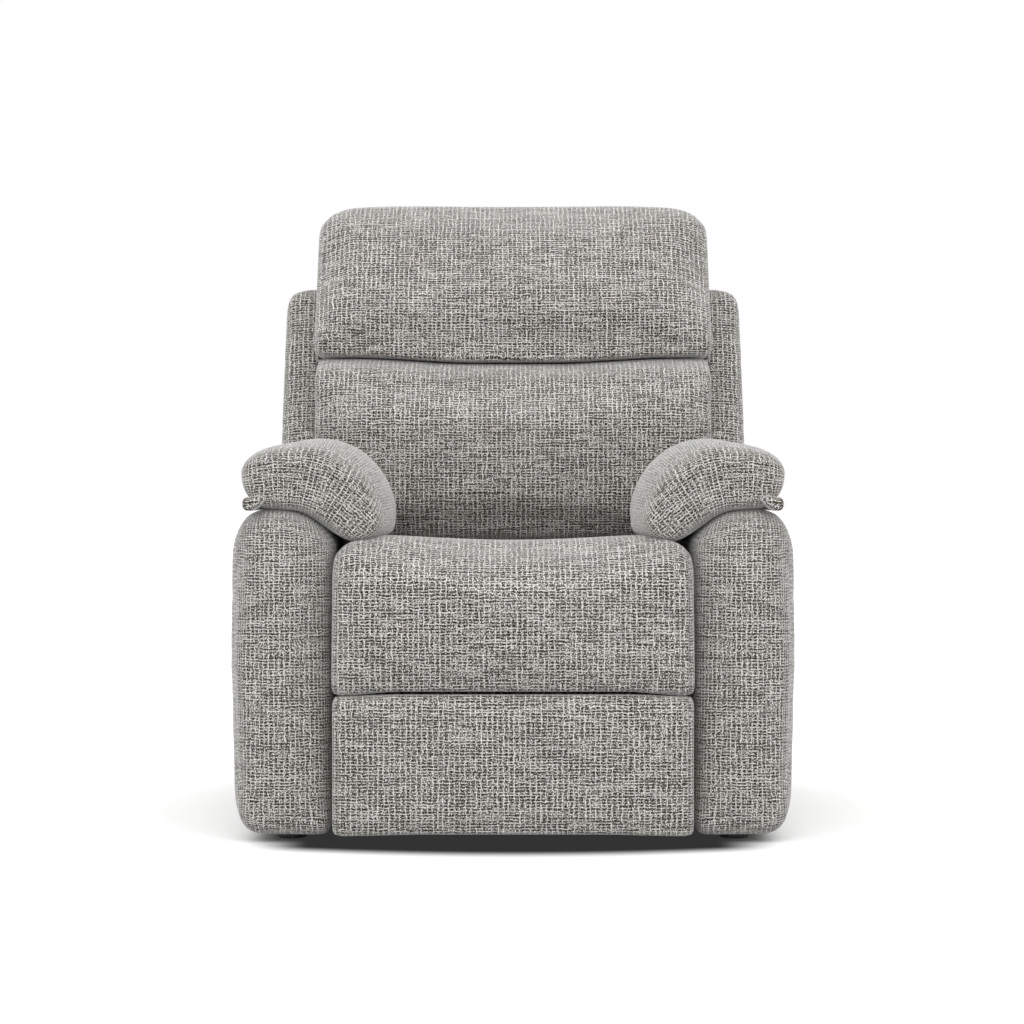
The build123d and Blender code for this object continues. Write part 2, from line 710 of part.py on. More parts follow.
# Back cushions, in front of the springs
cushion_rear = (2 * wire_radius + 3 * fit) / math.cos(math.radians(back_lean))
lumbar_face = polygon(*lumbar_front, *[(frame_line(z) - cushion_rear, z)
                                       for z in (seam_z - cushion_gap, lumbar_low_z)])
lumbar = side_slab(lumbar_face, -lumbar_half_width, lumbar_half_width)
for side in (-1, 1):
    inner, outer = sorted((side * back_narrow_x, side * half_width))
    lumbar -= block(inner, outer, front_y, rear_y, 0, back_wide_z)
save("lumbar_cushion", lumbar)
head_over_z = panel_high_z + cushion_gap
cheek_zs = (wing_high_z + 2 * cushion_gap, head_over_z)
head_face = polygon(*head_front, (head_rear_y, overall_height), (head_rear_y, head_over_z),
                    *[(frame_line(z) - cushion_rear, z)
                      for z in (head_over_z, seam_z + cushion_gap)])
head_face = round_corner(head_face, (head_rear_y, overall_height), head_rear_round)
head = side_slab(head_face, -head_half_width, head_half_width)
head &= round_topped(head_half_width, 0, overall_height, head_side_round)
head_cheek = side_slab(polygon(*[(frame_line(z) - cushion_rear, z) for z in cheek_zs],
                               *[(board_line(z) - cushion_gap, z) for z in reversed(cheek_zs)]),
                       cheek_inner_x, head_half_width)
save("head_cushion", head + head_cheek + mirrored(head_cheek))

# Wings beside the back cushions
wing_face = polygon((wing_front_low_y, wing_low_z), (wing_front_high_y, wing_high_z),
                    (panel_line(wing_high_z), wing_high_z), (panel_line(wing_low_z), wing_low_z))
wing_face = round_corner(wing_face, (wing_front_high_y, wing_high_z), wing_round)
wing_face = round_corner(wing_face, (wing_front_low_y, wing_low_z), wing_round)
wing = side_slab(wing_face, wing_inner_x, wing_outer_x)
save_pair("wing", wing & round_topped(wing_outer_x, 0, wing_high_z, wing_round))
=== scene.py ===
import bpy
import bmesh
import math
import numpy as np
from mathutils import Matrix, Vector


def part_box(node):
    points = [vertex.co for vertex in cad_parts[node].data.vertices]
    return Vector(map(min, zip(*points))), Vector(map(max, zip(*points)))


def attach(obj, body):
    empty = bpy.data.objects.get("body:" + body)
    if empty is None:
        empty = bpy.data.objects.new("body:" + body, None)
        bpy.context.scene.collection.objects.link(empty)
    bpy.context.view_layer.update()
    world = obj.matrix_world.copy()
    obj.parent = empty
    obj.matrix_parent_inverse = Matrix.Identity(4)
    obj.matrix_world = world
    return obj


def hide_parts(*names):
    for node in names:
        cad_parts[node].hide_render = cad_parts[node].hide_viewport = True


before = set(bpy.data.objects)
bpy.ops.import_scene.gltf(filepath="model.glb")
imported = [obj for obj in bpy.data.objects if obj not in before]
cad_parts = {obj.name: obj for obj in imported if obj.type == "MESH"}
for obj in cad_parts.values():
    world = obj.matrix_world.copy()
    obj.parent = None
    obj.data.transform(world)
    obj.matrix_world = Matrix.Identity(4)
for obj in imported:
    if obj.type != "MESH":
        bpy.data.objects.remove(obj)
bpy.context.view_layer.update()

# Everything is in metres, in the frame of the solids: +Z up, the chair faces -Y.
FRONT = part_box("footrest_pad")[0].y
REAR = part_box("outer_back")[1].y
ARM_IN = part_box("arm_body_left")[0].x
ARM_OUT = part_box("arm_body_left")[1].x
ARM_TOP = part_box("arm_body_left")[1].z
FLOOR_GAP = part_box("arm_body_left")[0].z

# The covering cloth
WARP_PITCH = 0.0085
WEFT_PITCH = 0.0048
CLOTH_LIGHT = (0.884, 0.864, 0.836, 1)
CLOTH_DARK = (0.026, 0.018, 0.008, 1)

# Outlines and forms
ARC_STEPS = 7  # steps round a fillet
OUTLINE_GAP = 0.014  # longest straight step of an outline
END_STEPS = 5  # rings round the end of a form
PILLOW_STEPS = 4  # rings round the end of a pillow
FORM_STEP = 0.03
PILLOW_STEP = 0.012

# Soft pieces
SWELL_STEPS = 14
VOXEL, FINE_VOXEL = 0.0080, 0.0065
CLOTH_STIFF, CLOTH_BEND, CLOTH_MASS = 12.0, 3.0, 0.3

# Seams, and the panels that cover the ends of a piece
SEAM_DEPTH, SEAM_REACH = 0.0007, 0.0050
SEAM_SPAN = 0.05  # distances from a seam are kept up to this
THREAD_WIDE, THREAD_SOLID = 0.0014, 0.0004
DRAWN_IN, FAR_IN = 0.020, 0.030  # how deep inside its outline a side may be drawn in
PANEL_REACH = 0.10
ENDWAYS = 0.25  # how far a face turns to the end of its form to belong to a panel
SIDEWAYS = 0.6  # and a face that lies far in

# The camera
VIEW_DISTANCE = 3.6  # from the front of the chair
VIEW_HEIGHT = 0.573
VIEW_DIP = 0.77  # degrees
LENS, SENSOR = 81.0, 36.0  # mm


# -------------------- meshes

def new_object(name, data):
    made = bpy.data.objects.new(name, data)
    bpy.context.scene.collection.objects.link(made)
    return made


def new_mesh(name, verts, faces):
    mesh = bpy.data.meshes.new(name)
    mesh.from_pydata([tuple(v) for v in verts], [], faces)
    mesh.validate()
    return new_object(name, mesh)


def face_outwards(piece):
    bm = bmesh.new()
    bm.from_mesh(piece.data)
    bmesh.ops.remove_doubles(bm, verts=bm.verts, dist=1e-6)
    bmesh.ops.recalc_face_normals(bm, faces=bm.faces)
    bm.to_mesh(piece.data)
    bm.free()


def smooth_shade(piece):
    piece.data.polygons.foreach_set("use_smooth", [True] * len(piece.data.polygons))
    piece.data.update()


def values_of(collection, key, kind=float, wide=1):
    """One value of every element of a mesh, as an array."""
    values = np.empty(len(collection) * wide, kind)
    collection.foreach_get(key, values)
    return values


def points_of(piece):
    return values_of(piece.data.vertices, "co", wide=3).reshape(-1, 3)


def set_points(piece, co):
    piece.data.vertices.foreach_set("co", np.ascontiguousarray(co).ravel())
    piece.data.update()


def bake(piece):
    """The piece's mesh as its modifiers leave it, with no modifier left."""
    deps = bpy.context.evaluated_depsgraph_get()
    mesh = bpy.data.meshes.new_from_object(piece.evaluated_get(deps))
    piece.modifiers.clear()
    old = piece.data
    piece.data = mesh
    bpy.data.meshes.remove(old)
    return piece


def with_modifier(piece, kind, **values):
    modifier = piece.modifiers.new(kind.lower(), kind)
    for key, value in values.items():
        setattr(modifier, key, value)
    return bake(piece)


def mirrored(piece, name):
    """A copy of the piece on the other side of the chair."""
    twin = new_object(name, piece.data.copy())
    set_points(twin, points_of(twin) * (-1, 1, 1))
    twin.data.flip_normals()
    return twin


# -------------------- outlines

def outline(corners):
    """Points round a closed outline. A corner is (p, q, fillet, end), where end is how far
    the form rounds over towards its ends there. Returns the points and the end radii."""
    points, ends = [], []
    n = len(corners)
    for k in range(n):
        before, here, after = (np.array(corners[(k + d) % n][:2]) for d in (-1, 0, 1))
        fillet, end = corners[k][2], corners[k][3]
        to_before, to_after = before - here, after - here
        a = to_before / np.linalg.norm(to_before)
        b = to_after / np.linalg.norm(to_after)
        half = math.acos(max(-1, min(1, float(a @ b)))) / 2
        if fillet <= 0 or half > math.pi / 2 - 0.01:
            points.append(here)
            ends.append(end)
            continue
        reach = fillet / math.tan(half)
        start, stop = here + a * reach, here + b * reach
        center = here + (a + b) / np.linalg.norm(a + b) * fillet / math.sin(half)
        for s in range(ARC_STEPS + 1):
            t = s / ARC_STEPS
            way = (start - center) * (1 - t) + (stop - center) * t
            points.append(center + way / np.linalg.norm(way) * fillet)
            ends.append(end)
    full_points, full_ends = [], []
    for k in range(len(points)):
        p, q = points[k], points[(k + 1) % len(points)]
        e, f = ends[k], ends[(k + 1) % len(points)]
        parts = max(1, int(np.linalg.norm(q - p) / OUTLINE_GAP))
        for s in range(parts):
            full_points.append(p + (q - p) * s / parts)
            full_ends.append(e + (f - e) * s / parts)
    return np.array(full_points), np.array(full_ends)


def slab(low, high, *faces):
    """The outline of a slab between two heights. Each face is (its y at a height, fillet, end)."""
    (one, *one_edge), (other, *other_edge) = faces
    return outline([(one(low), low, *one_edge), (one(high), high, *one_edge),
                    (other(high), high, *other_edge), (other(low), low, *other_edge)])


def smooth_outline(knots, count, end):
    """A closed smooth curve through the knots."""
    knots = np.array(knots)
    n = len(knots)
    out = []
    for k in range(count):
        t = k / count * n
        i, f = int(t), t - int(t)
        a, b, c, d = (knots[(i + s) % n] for s in (-1, 0, 1, 2))
        out.append(0.5 * (2 * b + (c - a) * f + (2 * a - 5 * b + 4 * c - d) * f * f
                          + (3 * b - a - 3 * c + d) * f ** 3))
    return np.array(out), np.full(count, end)


def inward(points):
    """The inward normals of a closed outline, lengthened at its corners."""
    ahead = np.roll(points, -1, axis=0)
    edges = ahead - points
    edges /= np.linalg.norm(edges, axis=1)[:, None]
    area = np.sum(points[:, 0] * ahead[:, 1] - ahead[:, 0] * points[:, 1])
    normals = np.stack([-edges[:, 1], edges[:, 0]], 1) * (1 if area > 0 else -1)
    both = normals + np.roll(normals, 1, axis=0)
    both /= np.linalg.norm(both, axis=1)[:, None]
    lengthen = 1 / np.clip(np.sum(both * normals, axis=1), 0.6, 1)
    return both * lengthen[:, None]


def skin(name, verts, n):
    """A closed piece over rings of n points each, with a flat face at each end."""
    rings = len(verts) // n
    faces = [tuple(range(n))]
    for r in range(rings - 1):
        for k in range(n):
            m = (k + 1) % n
            faces.append((r * n + k, r * n + m, (r + 1) * n + m, (r + 1) * n + k))
    faces.append(tuple(range((rings - 1) * n, rings * n)))
    piece = new_mesh(name, verts, faces)
    face_outwards(piece)
    return piece


def form(name, shape, axis, low, high, low_round=True):
    """A closed form whose outline runs from low to high along an axis, rounded at its high
    end, and at its low end unless low_round is off."""
    points, ends = shape
    normals = inward(points)
    rings = []
    angles = [math.pi / 2 * s / END_STEPS for s in range(END_STEPS + 1)]
    for angle in reversed(angles[1:] if low_round else []):
        rings.append((low, 1, angle))
    rings.append((low, 1 if low_round else 0, 0))
    middle = max(2, int((high - low) / FORM_STEP))
    for s in range(1, middle):
        rings.append((low + (high - low) * s / middle, 0, 0))
    for angle in angles:
        rings.append((high, -1, angle))
    verts = []
    for place, side, angle in rings:
        shrink = ends * (1 - math.cos(angle))
        at = place + side * ends * (1 - math.sin(angle))
        if side == 0 and place not in (low, high):
            share = (place - low) / (high - low)
            first = low + (ends if low_round else 0 * ends)
            last = high - ends
            at = first + (last - first) * share
        ring = points + normals * shrink[:, None]
        for (p, q), t in zip(ring, at):
            verts.append((t, p, q) if axis == "X" else (p, t, q))
    return skin(name, verts, len(points))


def pillow(name, outline_at, low, high, low_round, high_round):
    """A closed form along Y whose outline, from outline_at(y), changes on its way."""
    angles = [math.pi / 2 * s / PILLOW_STEPS for s in range(PILLOW_STEPS + 1)]
    parts = int((high - high_round - low - low_round) / PILLOW_STEP)
    first, last = low + low_round, high - high_round
    rings = [(low + low_round * (1 - math.sin(a)), low_round * (1 - math.cos(a)))
             for a in reversed(angles)]
    rings += [(first + (last - first) * s / parts, 0.0) for s in range(1, parts)]
    rings += [(high - high_round * (1 - math.sin(a)), high_round * (1 - math.cos(a)))
              for a in angles]
    verts = []
    for y, shrink in rings:
        points = outline_at(y)
        for p, q in points + inward(points) * shrink:
            verts.append((p, y, q))
    return skin(name, verts, len(points))


# -------------------- stuffing

def remesh(piece, voxel):
    return with_modifier(piece, "REMESH", mode="VOXEL", voxel_size=voxel, use_smooth_shade=True)


def settle(piece, rounds):
    return with_modifier(piece, "SMOOTH", factor=0.5, iterations=rounds)


def stuff(piece, pressure, cap, hold, voxel=VOXEL, soften=3):
    """Fills the piece as foam and wadding fill a cover. cap is how far the cloth may move,
    and hold(x, y, z) gives, from 0 to 1, how free each point is."""
    remesh(piece, voxel)
    settle(piece, soften)
    start = points_of(piece)
    cloth = piece.modifiers.new("stuffing", "CLOTH")
    cloth.settings.quality = 4
    cloth.settings.mass = CLOTH_MASS
    cloth.settings.tension_stiffness = CLOTH_STIFF
    cloth.settings.compression_stiffness = CLOTH_STIFF
    cloth.settings.shear_stiffness = CLOTH_STIFF / 2
    cloth.settings.bending_stiffness = CLOTH_BEND
    cloth.settings.use_pressure = True
    cloth.settings.uniform_pressure_force = pressure
    cloth.settings.effector_weights.gravity = 0
    cloth.collision_settings.use_collision = False
    cloth.point_cache.frame_start = 1
    cloth.point_cache.frame_end = SWELL_STEPS + 1
    for step in range(1, SWELL_STEPS + 1):
        bpy.context.scene.frame_set(step)
    bake(piece)
    bpy.context.scene.frame_set(1)
    moved = points_of(piece) - start
    far = np.linalg.norm(moved, axis=1)
    far[far < 1e-9] = 1e-9
    limited = cap * np.tanh(far / cap) * hold(*start.T)
    set_points(piece, start + moved * (limited / far)[:, None])
    settle(piece, 2)
    return with_modifier(piece, "SUBSURF", levels=1, render_levels=1)


def shifts(x=0.0, y=0.0, z=0.0):
    """How far each point goes along each axis. At least one is an array over the points."""
    return np.stack(np.broadcast_arrays(x, y, z), 1)


def push(piece, move):
    """Shifts every point by move(x, y, z)."""
    co = points_of(piece)
    set_points(piece, co + move(*co.T))
    return piece


def rise(value, start, over):
    """0 up to start, then rising evenly to 1 over the stretch given."""
    return np.clip((value - start) / over, 0, 1)


def drop(value, stop, over):
    """0 from stop on, and before it falling evenly from 1 over the stretch given."""
    return np.clip((stop - value) / over, 0, 1)


def hump(value, center, reach):
    """1 at the center, falling smoothly to 0 at reach from it."""
    t = rise(np.abs(value - center), 0, reach)
    return (1 - t * t) ** 2


def eased(t):
    return t * t * (3 - 2 * t)


def shelf(value, half, fall):
    """1 in the middle, falling smoothly to 0 at half over the last stretch."""
    return eased(drop(np.abs(value), half, fall))


# -------------------- laying the cloth

def along_outline(shape, where):
    """How far round the outline each place lies, the whole length round it, how deep inside
    the outline the place is, and the end radius there."""
    a, ends = shape
    b = np.roll(a, -1, axis=0)
    edge = b - a
    long = np.linalg.norm(edge, axis=1)
    begun = np.concatenate([[0], np.cumsum(long)])
    best = np.full(len(where), 1e9)
    out, end = np.zeros(len(where)), np.zeros(len(where))
    within = np.zeros(len(where), bool)
    for k in range(len(a)):
        rel = where - a[k]
        t = np.clip(rel @ edge[k] / max(long[k] ** 2, 1e-12), 0, 1)
        off = np.linalg.norm(rel - t[:, None] * edge[k], axis=1)
        near = off < best
        best[near] = off[near]
        out[near] = begun[k] + t[near] * long[k]
        end[near] = ends[k]
        if abs(edge[k, 1]) > 1e-12:
            crosses = (a[k, 1] > where[:, 1]) != (b[k, 1] > where[:, 1])
            left = where[:, 0] < a[k, 0] + edge[k, 0] * rel[:, 1] / edge[k, 1]
            within ^= crosses & left
    return out, begun[-1], np.where(within, best, -best), end


def lay_cloth(piece, shape, axis, shift, cap_map=None, lip=0.0095, inset=0.65, panel=None,
              turned=False, sewn=True):
    """Gives the piece its cloth map, in metres of cloth, and its seams. The cloth goes round
    the outline, and a separate panel covers each end. On an X form the panels reach lip round
    the corner, and cover the sides that are drawn in. On a Y form they lie within the rounded
    edge or, with an inset of 0, reach lip round it and are sewn along the panel outline given.
    cap_map(places) maps a panel, and turned lays the cloth round the outline crossways."""
    mesh = piece.data
    co = points_of(piece)
    k = 0 if axis == "X" else 1
    flat = co[:, [1, 2]] if axis == "X" else co[:, [0, 2]]
    round_it, whole, deep, end = along_outline(shape, flat)
    wrap = np.stack([round_it, co[:, k]], 1)
    column = 0
    if axis == "X" or turned:
        wrap, column = wrap[:, ::-1].copy(), 1
    normals = values_of(mesh.vertex_normals, "vector", wide=3).reshape(-1, 3)
    middle = (co[:, k].min() + co[:, k].max()) / 2
    short = co[:, k].max() - middle - np.abs(co[:, k] - middle)
    around = normals[:, [1, 2]] if axis == "X" else normals[:, [0, 2]]
    cap = flat
    if axis == "X" or inset == 0:
        reach = np.where((axis == "X") & (deep > DRAWN_IN), PANEL_REACH, 2 * lip)
        cap = flat + around * np.clip(short, 0, reach)[:, None]
        past = line = lip - short
    if axis == "X":
        faces_aside = np.where(short > FAR_IN, np.abs(normals[:, 0]) - SIDEWAYS, -1)
        past = np.maximum(past, np.maximum(deep - FAR_IN, faces_aside))
    cap = cap_map(cap) if cap_map else cap
    if axis == "Y":
        if panel is not None:
            _, _, deep, end = along_outline(panel, flat)
        line = np.where(np.abs(normals[:, 1]) > ENDWAYS, deep - inset * end, -SEAM_SPAN)
        past = past if inset == 0 else line
    if sewn:
        set_points(piece, co - normals * (SEAM_DEPTH * hump(line, 0, SEAM_REACH))[:, None])
        seam = mesh.attributes.new("seam", "FLOAT", "POINT")
        seam.data.foreach_set("value", 1 + np.clip(line, -SEAM_SPAN, SEAM_SPAN))
    vertex = values_of(mesh.loops, "vertex_index", int)
    start = values_of(mesh.polygons, "loop_start", int)
    face = np.repeat(np.arange(len(start)), values_of(mesh.polygons, "loop_total", int))
    ended = (np.add.reduceat(past[vertex], start) > 0)[face]
    uv = np.where(ended[:, None], cap[vertex], wrap[vertex])
    value = wrap[vertex, column]
    low = np.minimum.reduceat(value, start)
    high = np.maximum.reduceat(value, start)
    split = (high - low > whole / 2)[face] & ~ended
    uv[split & (value < whole / 2), column] += whole
    uv += np.array(shift)
    while mesh.uv_layers:
        mesh.uv_layers.remove(mesh.uv_layers[0])
    layer = mesh.uv_layers.new(name="cloth")
    layer.data.foreach_set("uv", uv.ravel())
    mesh.update()
    return piece


# -------------------- node helpers

class Tree:
    """Short ways to add nodes to a tree."""

    def __init__(self, tree):
        self.tree = tree

    def node(self, kind, sockets=None, **values):
        """A new node. sockets gives what goes into its inputs, by name or number."""
        node = self.tree.nodes.new(kind)
        for key, value in values.items():
            setattr(node, key, value)
        for key, value in (sockets or {}).items():
            self.link(value, node.inputs[key])
        return node

    def link(self, source, target):
        """Joins a socket to the target, or gives it a plain value."""
        if hasattr(source, "is_output"):
            self.tree.links.new(source, target)
        else:
            target.default_value = source

    def math(self, operation, a, b=0.0, c=0.0, clamp=False):
        return self.node("ShaderNodeMath", {0: a, 1: b, 2: c}, operation=operation,
                         use_clamp=clamp).outputs[0]

    def times(self, a, b, plus=None, clamp=False):
        if plus is None:
            return self.math("MULTIPLY", a, b, clamp=clamp)
        return self.math("MULTIPLY_ADD", a, b, plus, clamp)

    def mix(self, factor, a, b, blend="MIX"):
        return self.node("ShaderNodeMix", {0: factor, 6: a, 7: b}, data_type="RGBA",
                         blend_type=blend).outputs[2]

    def blend(self, factor, a, b):
        """A mix of two shaders."""
        return self.node("ShaderNodeMixShader", {0: factor, 1: a, 2: b}).outputs[0]

    def ramp(self, value, low, high):
        """0 at low and 1 at high, smooth between them."""
        return self.node("ShaderNodeMapRange", {0: value, 1: low, 2: high},
                         interpolation_type="SMOOTHSTEP").outputs[0]

    def random(self, x, y, z):
        """A node with fixed random numbers for each whole x, y and z."""
        place = self.node("ShaderNodeCombineXYZ", {0: x, 1: y, 2: z}).outputs[0]
        return self.node("ShaderNodeTexWhiteNoise", {"Vector": place}, noise_dimensions="3D")

    def chance(self, x, y, z=0.0):
        return self.random(x, y, z).outputs["Value"]

    def noise(self, vector, scale, detail, rough=0.5, output="Fac"):
        return self.node("ShaderNodeTexNoise", {"Vector": vector, "Scale": scale, "Detail": detail,
                                                "Roughness": rough}).outputs[output]

    def stretch(self, vector, scale, shift=(0, 0, 0)):
        return self.node("ShaderNodeMapping", {"Vector": vector, "Scale": scale,
                                               "Location": shift}).outputs[0]

    def split(self, vector):
        return self.node("ShaderNodeSeparateXYZ", {0: vector}).outputs


def node_group(name, inputs, *outputs):
    """An empty shader group with named inputs, each with its value: None for a place, or a
    number or a color. Returns the group, what comes in, and the sockets that go out."""
    group = bpy.data.node_groups.new(name, "ShaderNodeTree")
    for label, value in inputs.items():
        kind = "Vector" if value is None else "Color" if isinstance(value, tuple) else "Float"
        socket = group.interface.new_socket(label, in_out="INPUT", socket_type="NodeSocket" + kind)
        if value is not None:
            socket.default_value = value
    for label in outputs:
        kind = "Color" if label == "Color" else "Float"
        group.interface.new_socket(label, in_out="OUTPUT", socket_type="NodeSocket" + kind)
    start = group.nodes.new("NodeGroupInput")
    end = group.nodes.new("NodeGroupOutput")
    return group, start.outputs, end.inputs


def yarn(t, across, along, length, width, faint, seed, stray):
    """One yarn to each unit across, in floats of about the length along it. How bright it is."""
    line = t.math("FLOOR", across)
    moved = t.times(t.chance(line, seed), 7.0, t.math("DIVIDE", along, length))
    part = t.math("FLOOR", moved)
    shown, broad, aside = t.split(t.random(line, part, seed + 3.0).outputs["Color"])
    middle = t.math("ABSOLUTE", t.math("SUBTRACT", t.math("FRACT", moved), 0.5))
    ends = t.ramp(middle, 0.5, 0.5 - 0.4 / length)
    place = t.times(aside, stray, t.math("SUBTRACT", t.math("FRACT", across), 0.5 + 0.5 * stray))
    reach = t.times(broad, 0.5 * width, 0.75 * width)
    band = t.ramp(t.math("ABSOLUTE", place), reach, t.times(reach, 0.45))
    level = t.times(shown, 1.0 - faint, faint)
    return t.times(t.times(band, level), ends)


def near_whole(t, value):
    """The nearest whole number, and how far the value is from it."""
    whole = t.math("FLOOR", t.math("ADD", value, 0.5))
    return whole, t.math("ABSOLUTE", t.math("SUBTRACT", value, whole))


def make_weave():
    group, given, out = node_group("slub_basket_weave", {
        "Cloth": None, "Warp Pitch": WARP_PITCH, "Weft Pitch": WEFT_PITCH, "Body": 0.535,
        "Yarn Light": 0.68, "Hole Dark": 0.50, "Fibre": 0.85, "Light": CLOTH_LIGHT,
        "Dark": CLOTH_DARK, "Wear": 0.04, "Seam": 0.0,
    }, "Color", "Height")
    t = Tree(group)
    cloth = given["Cloth"]
    sway_x, sway_y, _ = t.split(t.noise(cloth, 80.0, 0.0, output="Color"))
    x, y, _ = t.split(cloth)
    kink_x, kink_y, _ = t.split(t.noise(cloth, 260.0, 0.0, output="Color"))
    across = t.times(sway_x, 0.45, t.math("DIVIDE", x, given["Warp Pitch"]))
    across = t.times(kink_x, 0.24, across)
    along = t.times(sway_y, 0.60, t.math("DIVIDE", y, given["Weft Pitch"]))
    along = t.times(kink_y, 0.34, along)
    warp = yarn(t, across, along, 6.0, 0.105, 0.30, 3.0, 0.36)
    weft = yarn(t, along, across, 4.0, 0.165, 0.05, 11.0, 0.35)
    # gaps in the cloth, between two yarns each way, in runs
    column, from_column = near_whole(t, across)
    row, from_row = near_whole(t, along)
    row_run = t.math("FLOOR", t.times(t.chance(row, 71.0), 5.0, t.math("DIVIDE", column, 5.0)))
    column_run = t.math("FLOOR", t.times(t.chance(column, 75.0), 5.0, t.math("DIVIDE", row, 6.0)))
    open_here = t.times(t.chance(column, row, 41.0), 0.30)
    open_here = t.times(t.chance(column, column_run, 77.0), 0.28, open_here)
    open_here = t.times(t.chance(row, row_run, 73.0), 0.42, open_here)
    gap = t.times(t.ramp(from_column, 0.32, 0.16), t.ramp(from_row, 0.40, 0.20))
    gap = t.times(gap, t.ramp(open_here, 0.28, 0.64))
    streak_run = t.math("FLOOR", t.times(t.chance(row, 81.0), 5.0, t.math("DIVIDE", across, 3.3)))
    streak = t.times(t.ramp(from_row, 0.36, 0.14),
                     t.ramp(t.chance(row, streak_run, 83.0), 0.45, 0.85))
    low = t.math("MAXIMUM", gap, t.times(streak, 0.8))
    under = t.times(low, t.times(warp, -0.9, 1.0))
    light = t.math("MAXIMUM", warp, weft)
    hair = t.noise(t.stretch(cloth, (1, 1, 1), (2, 7, 0)), 430, 1, 0.9)
    hair = t.math("SUBTRACT", t.ramp(hair, 0.36, 0.64), 0.5)
    tone = t.times(light, given["Yarn Light"], given["Body"])
    tone = t.math("SUBTRACT", tone, t.times(under, given["Hole Dark"]))
    tone = t.math("POWER", t.times(hair, given["Fibre"], tone, clamp=True), 2.2)
    woven = t.mix(tone, given["Dark"], given["Light"])
    tint = t.mix(t.chance(t.math("FLOOR", across), t.math("FLOOR", along), 33.0),
                 (1.015, 1.0, 0.972, 1), (0.99, 1.0, 1.005, 1))
    toned = t.mix(1.0, woven, tint, "MULTIPLY")
    rubbed = t.times(t.ramp(t.noise(cloth, 5, 3), 0.45, 0.8), given["Wear"])
    worn = t.mix(rubbed, toned, given["Light"])
    # the thread line of a seam, where the value given is 1; it is 0 on a piece with no seam
    sewn = t.math("ABSOLUTE", t.math("SUBTRACT", given["Seam"], 1.0))
    sewn = t.ramp(sewn, THREAD_WIDE, THREAD_SOLID)
    t.link(t.mix(t.times(sewn, 0.25), worn, given["Dark"]), out["Color"])
    height = t.math("SUBTRACT", t.times(light, 0.7), t.times(under, 0.5))
    t.link(t.times(sewn, -1.0, height), out["Height"])
    return group


def make_grain():
    group, given, out = node_group("wood_grain", {
        "Place": None, "Pale": (0.60, 0.44, 0.27, 1), "Dark": (0.36, 0.23, 0.12, 1), "Plies": 0.0,
    }, "Color", "Height", "Roughness")
    t = Tree(group)
    rings = t.node("ShaderNodeTexWave", {
        "Vector": t.stretch(given["Place"], (30, 6, 30)), "Scale": 0.9, "Distortion": 5.0,
        "Detail": 3.0,
    }, wave_type="RINGS", rings_direction="Y")
    pores = t.noise(t.stretch(given["Place"], (400, 18, 400)), 2.0, 3)
    _, _, z = t.split(given["Place"])
    ply = t.times(t.math("SINE", t.times(z, 2 * math.pi / 0.003)), given["Plies"])
    value = t.times(pores, 0.5, t.times(rings.outputs["Fac"], 0.5))
    value = t.math("ADD", value, ply, clamp=True)
    t.link(t.mix(value, given["Pale"], given["Dark"]), out["Color"])
    t.link(t.times(pores, -1.0), out["Height"])
    t.link(t.times(pores, 0.2, 0.55), out["Roughness"])
    return group


def make_handling():
    """Rubbed edges and dust on hard pieces."""
    group, given, out = node_group("rub_and_dust", {
        "Place": None, "Finish": (0.05, 0.05, 0.05, 1), "Bare": (0.45, 0.44, 0.42, 1),
        "Dust": (0.45, 0.42, 0.38, 1), "Rub": 0.5, "Dusty": 0.15, "Speckle": 600.0,
    }, "Color", "Height", "Roughness", "Metal")
    t = Tree(group)
    geometry = t.node("ShaderNodeNewGeometry")
    edge = t.ramp(geometry.outputs["Pointiness"], 0.52, 0.60)
    scuffs = t.ramp(t.noise(given["Place"], 120, 4, 0.7), 0.42, 0.68)
    rubbed = t.times(t.times(edge, scuffs), given["Rub"], clamp=True)
    _, _, up = t.split(geometry.outputs["Normal"])
    settled = t.times(t.ramp(up, 0.2, 1.0), t.noise(given["Place"], 24, 4, 0.65))
    dusty = t.times(settled, given["Dusty"], clamp=True)
    speckle = t.noise(given["Place"], given["Speckle"], 2.0)
    tone = t.mix(t.ramp(speckle, 0.3, 0.7), (0.86, 0.86, 0.86, 1), (1.12, 1.12, 1.12, 1))
    finish = t.mix(1.0, given["Finish"], tone, "MULTIPLY")
    t.link(t.mix(dusty, t.mix(rubbed, finish, given["Bare"]), given["Dust"]), out["Color"])
    t.link(speckle, out["Height"])
    t.link(t.times(scuffs, 0.12, t.times(dusty, 0.6, 0.34)), out["Roughness"])
    t.link(rubbed, out["Metal"])
    return group


WEAVE = make_weave()
GRAIN = make_grain()
HANDLING = make_handling()


# -------------------- materials

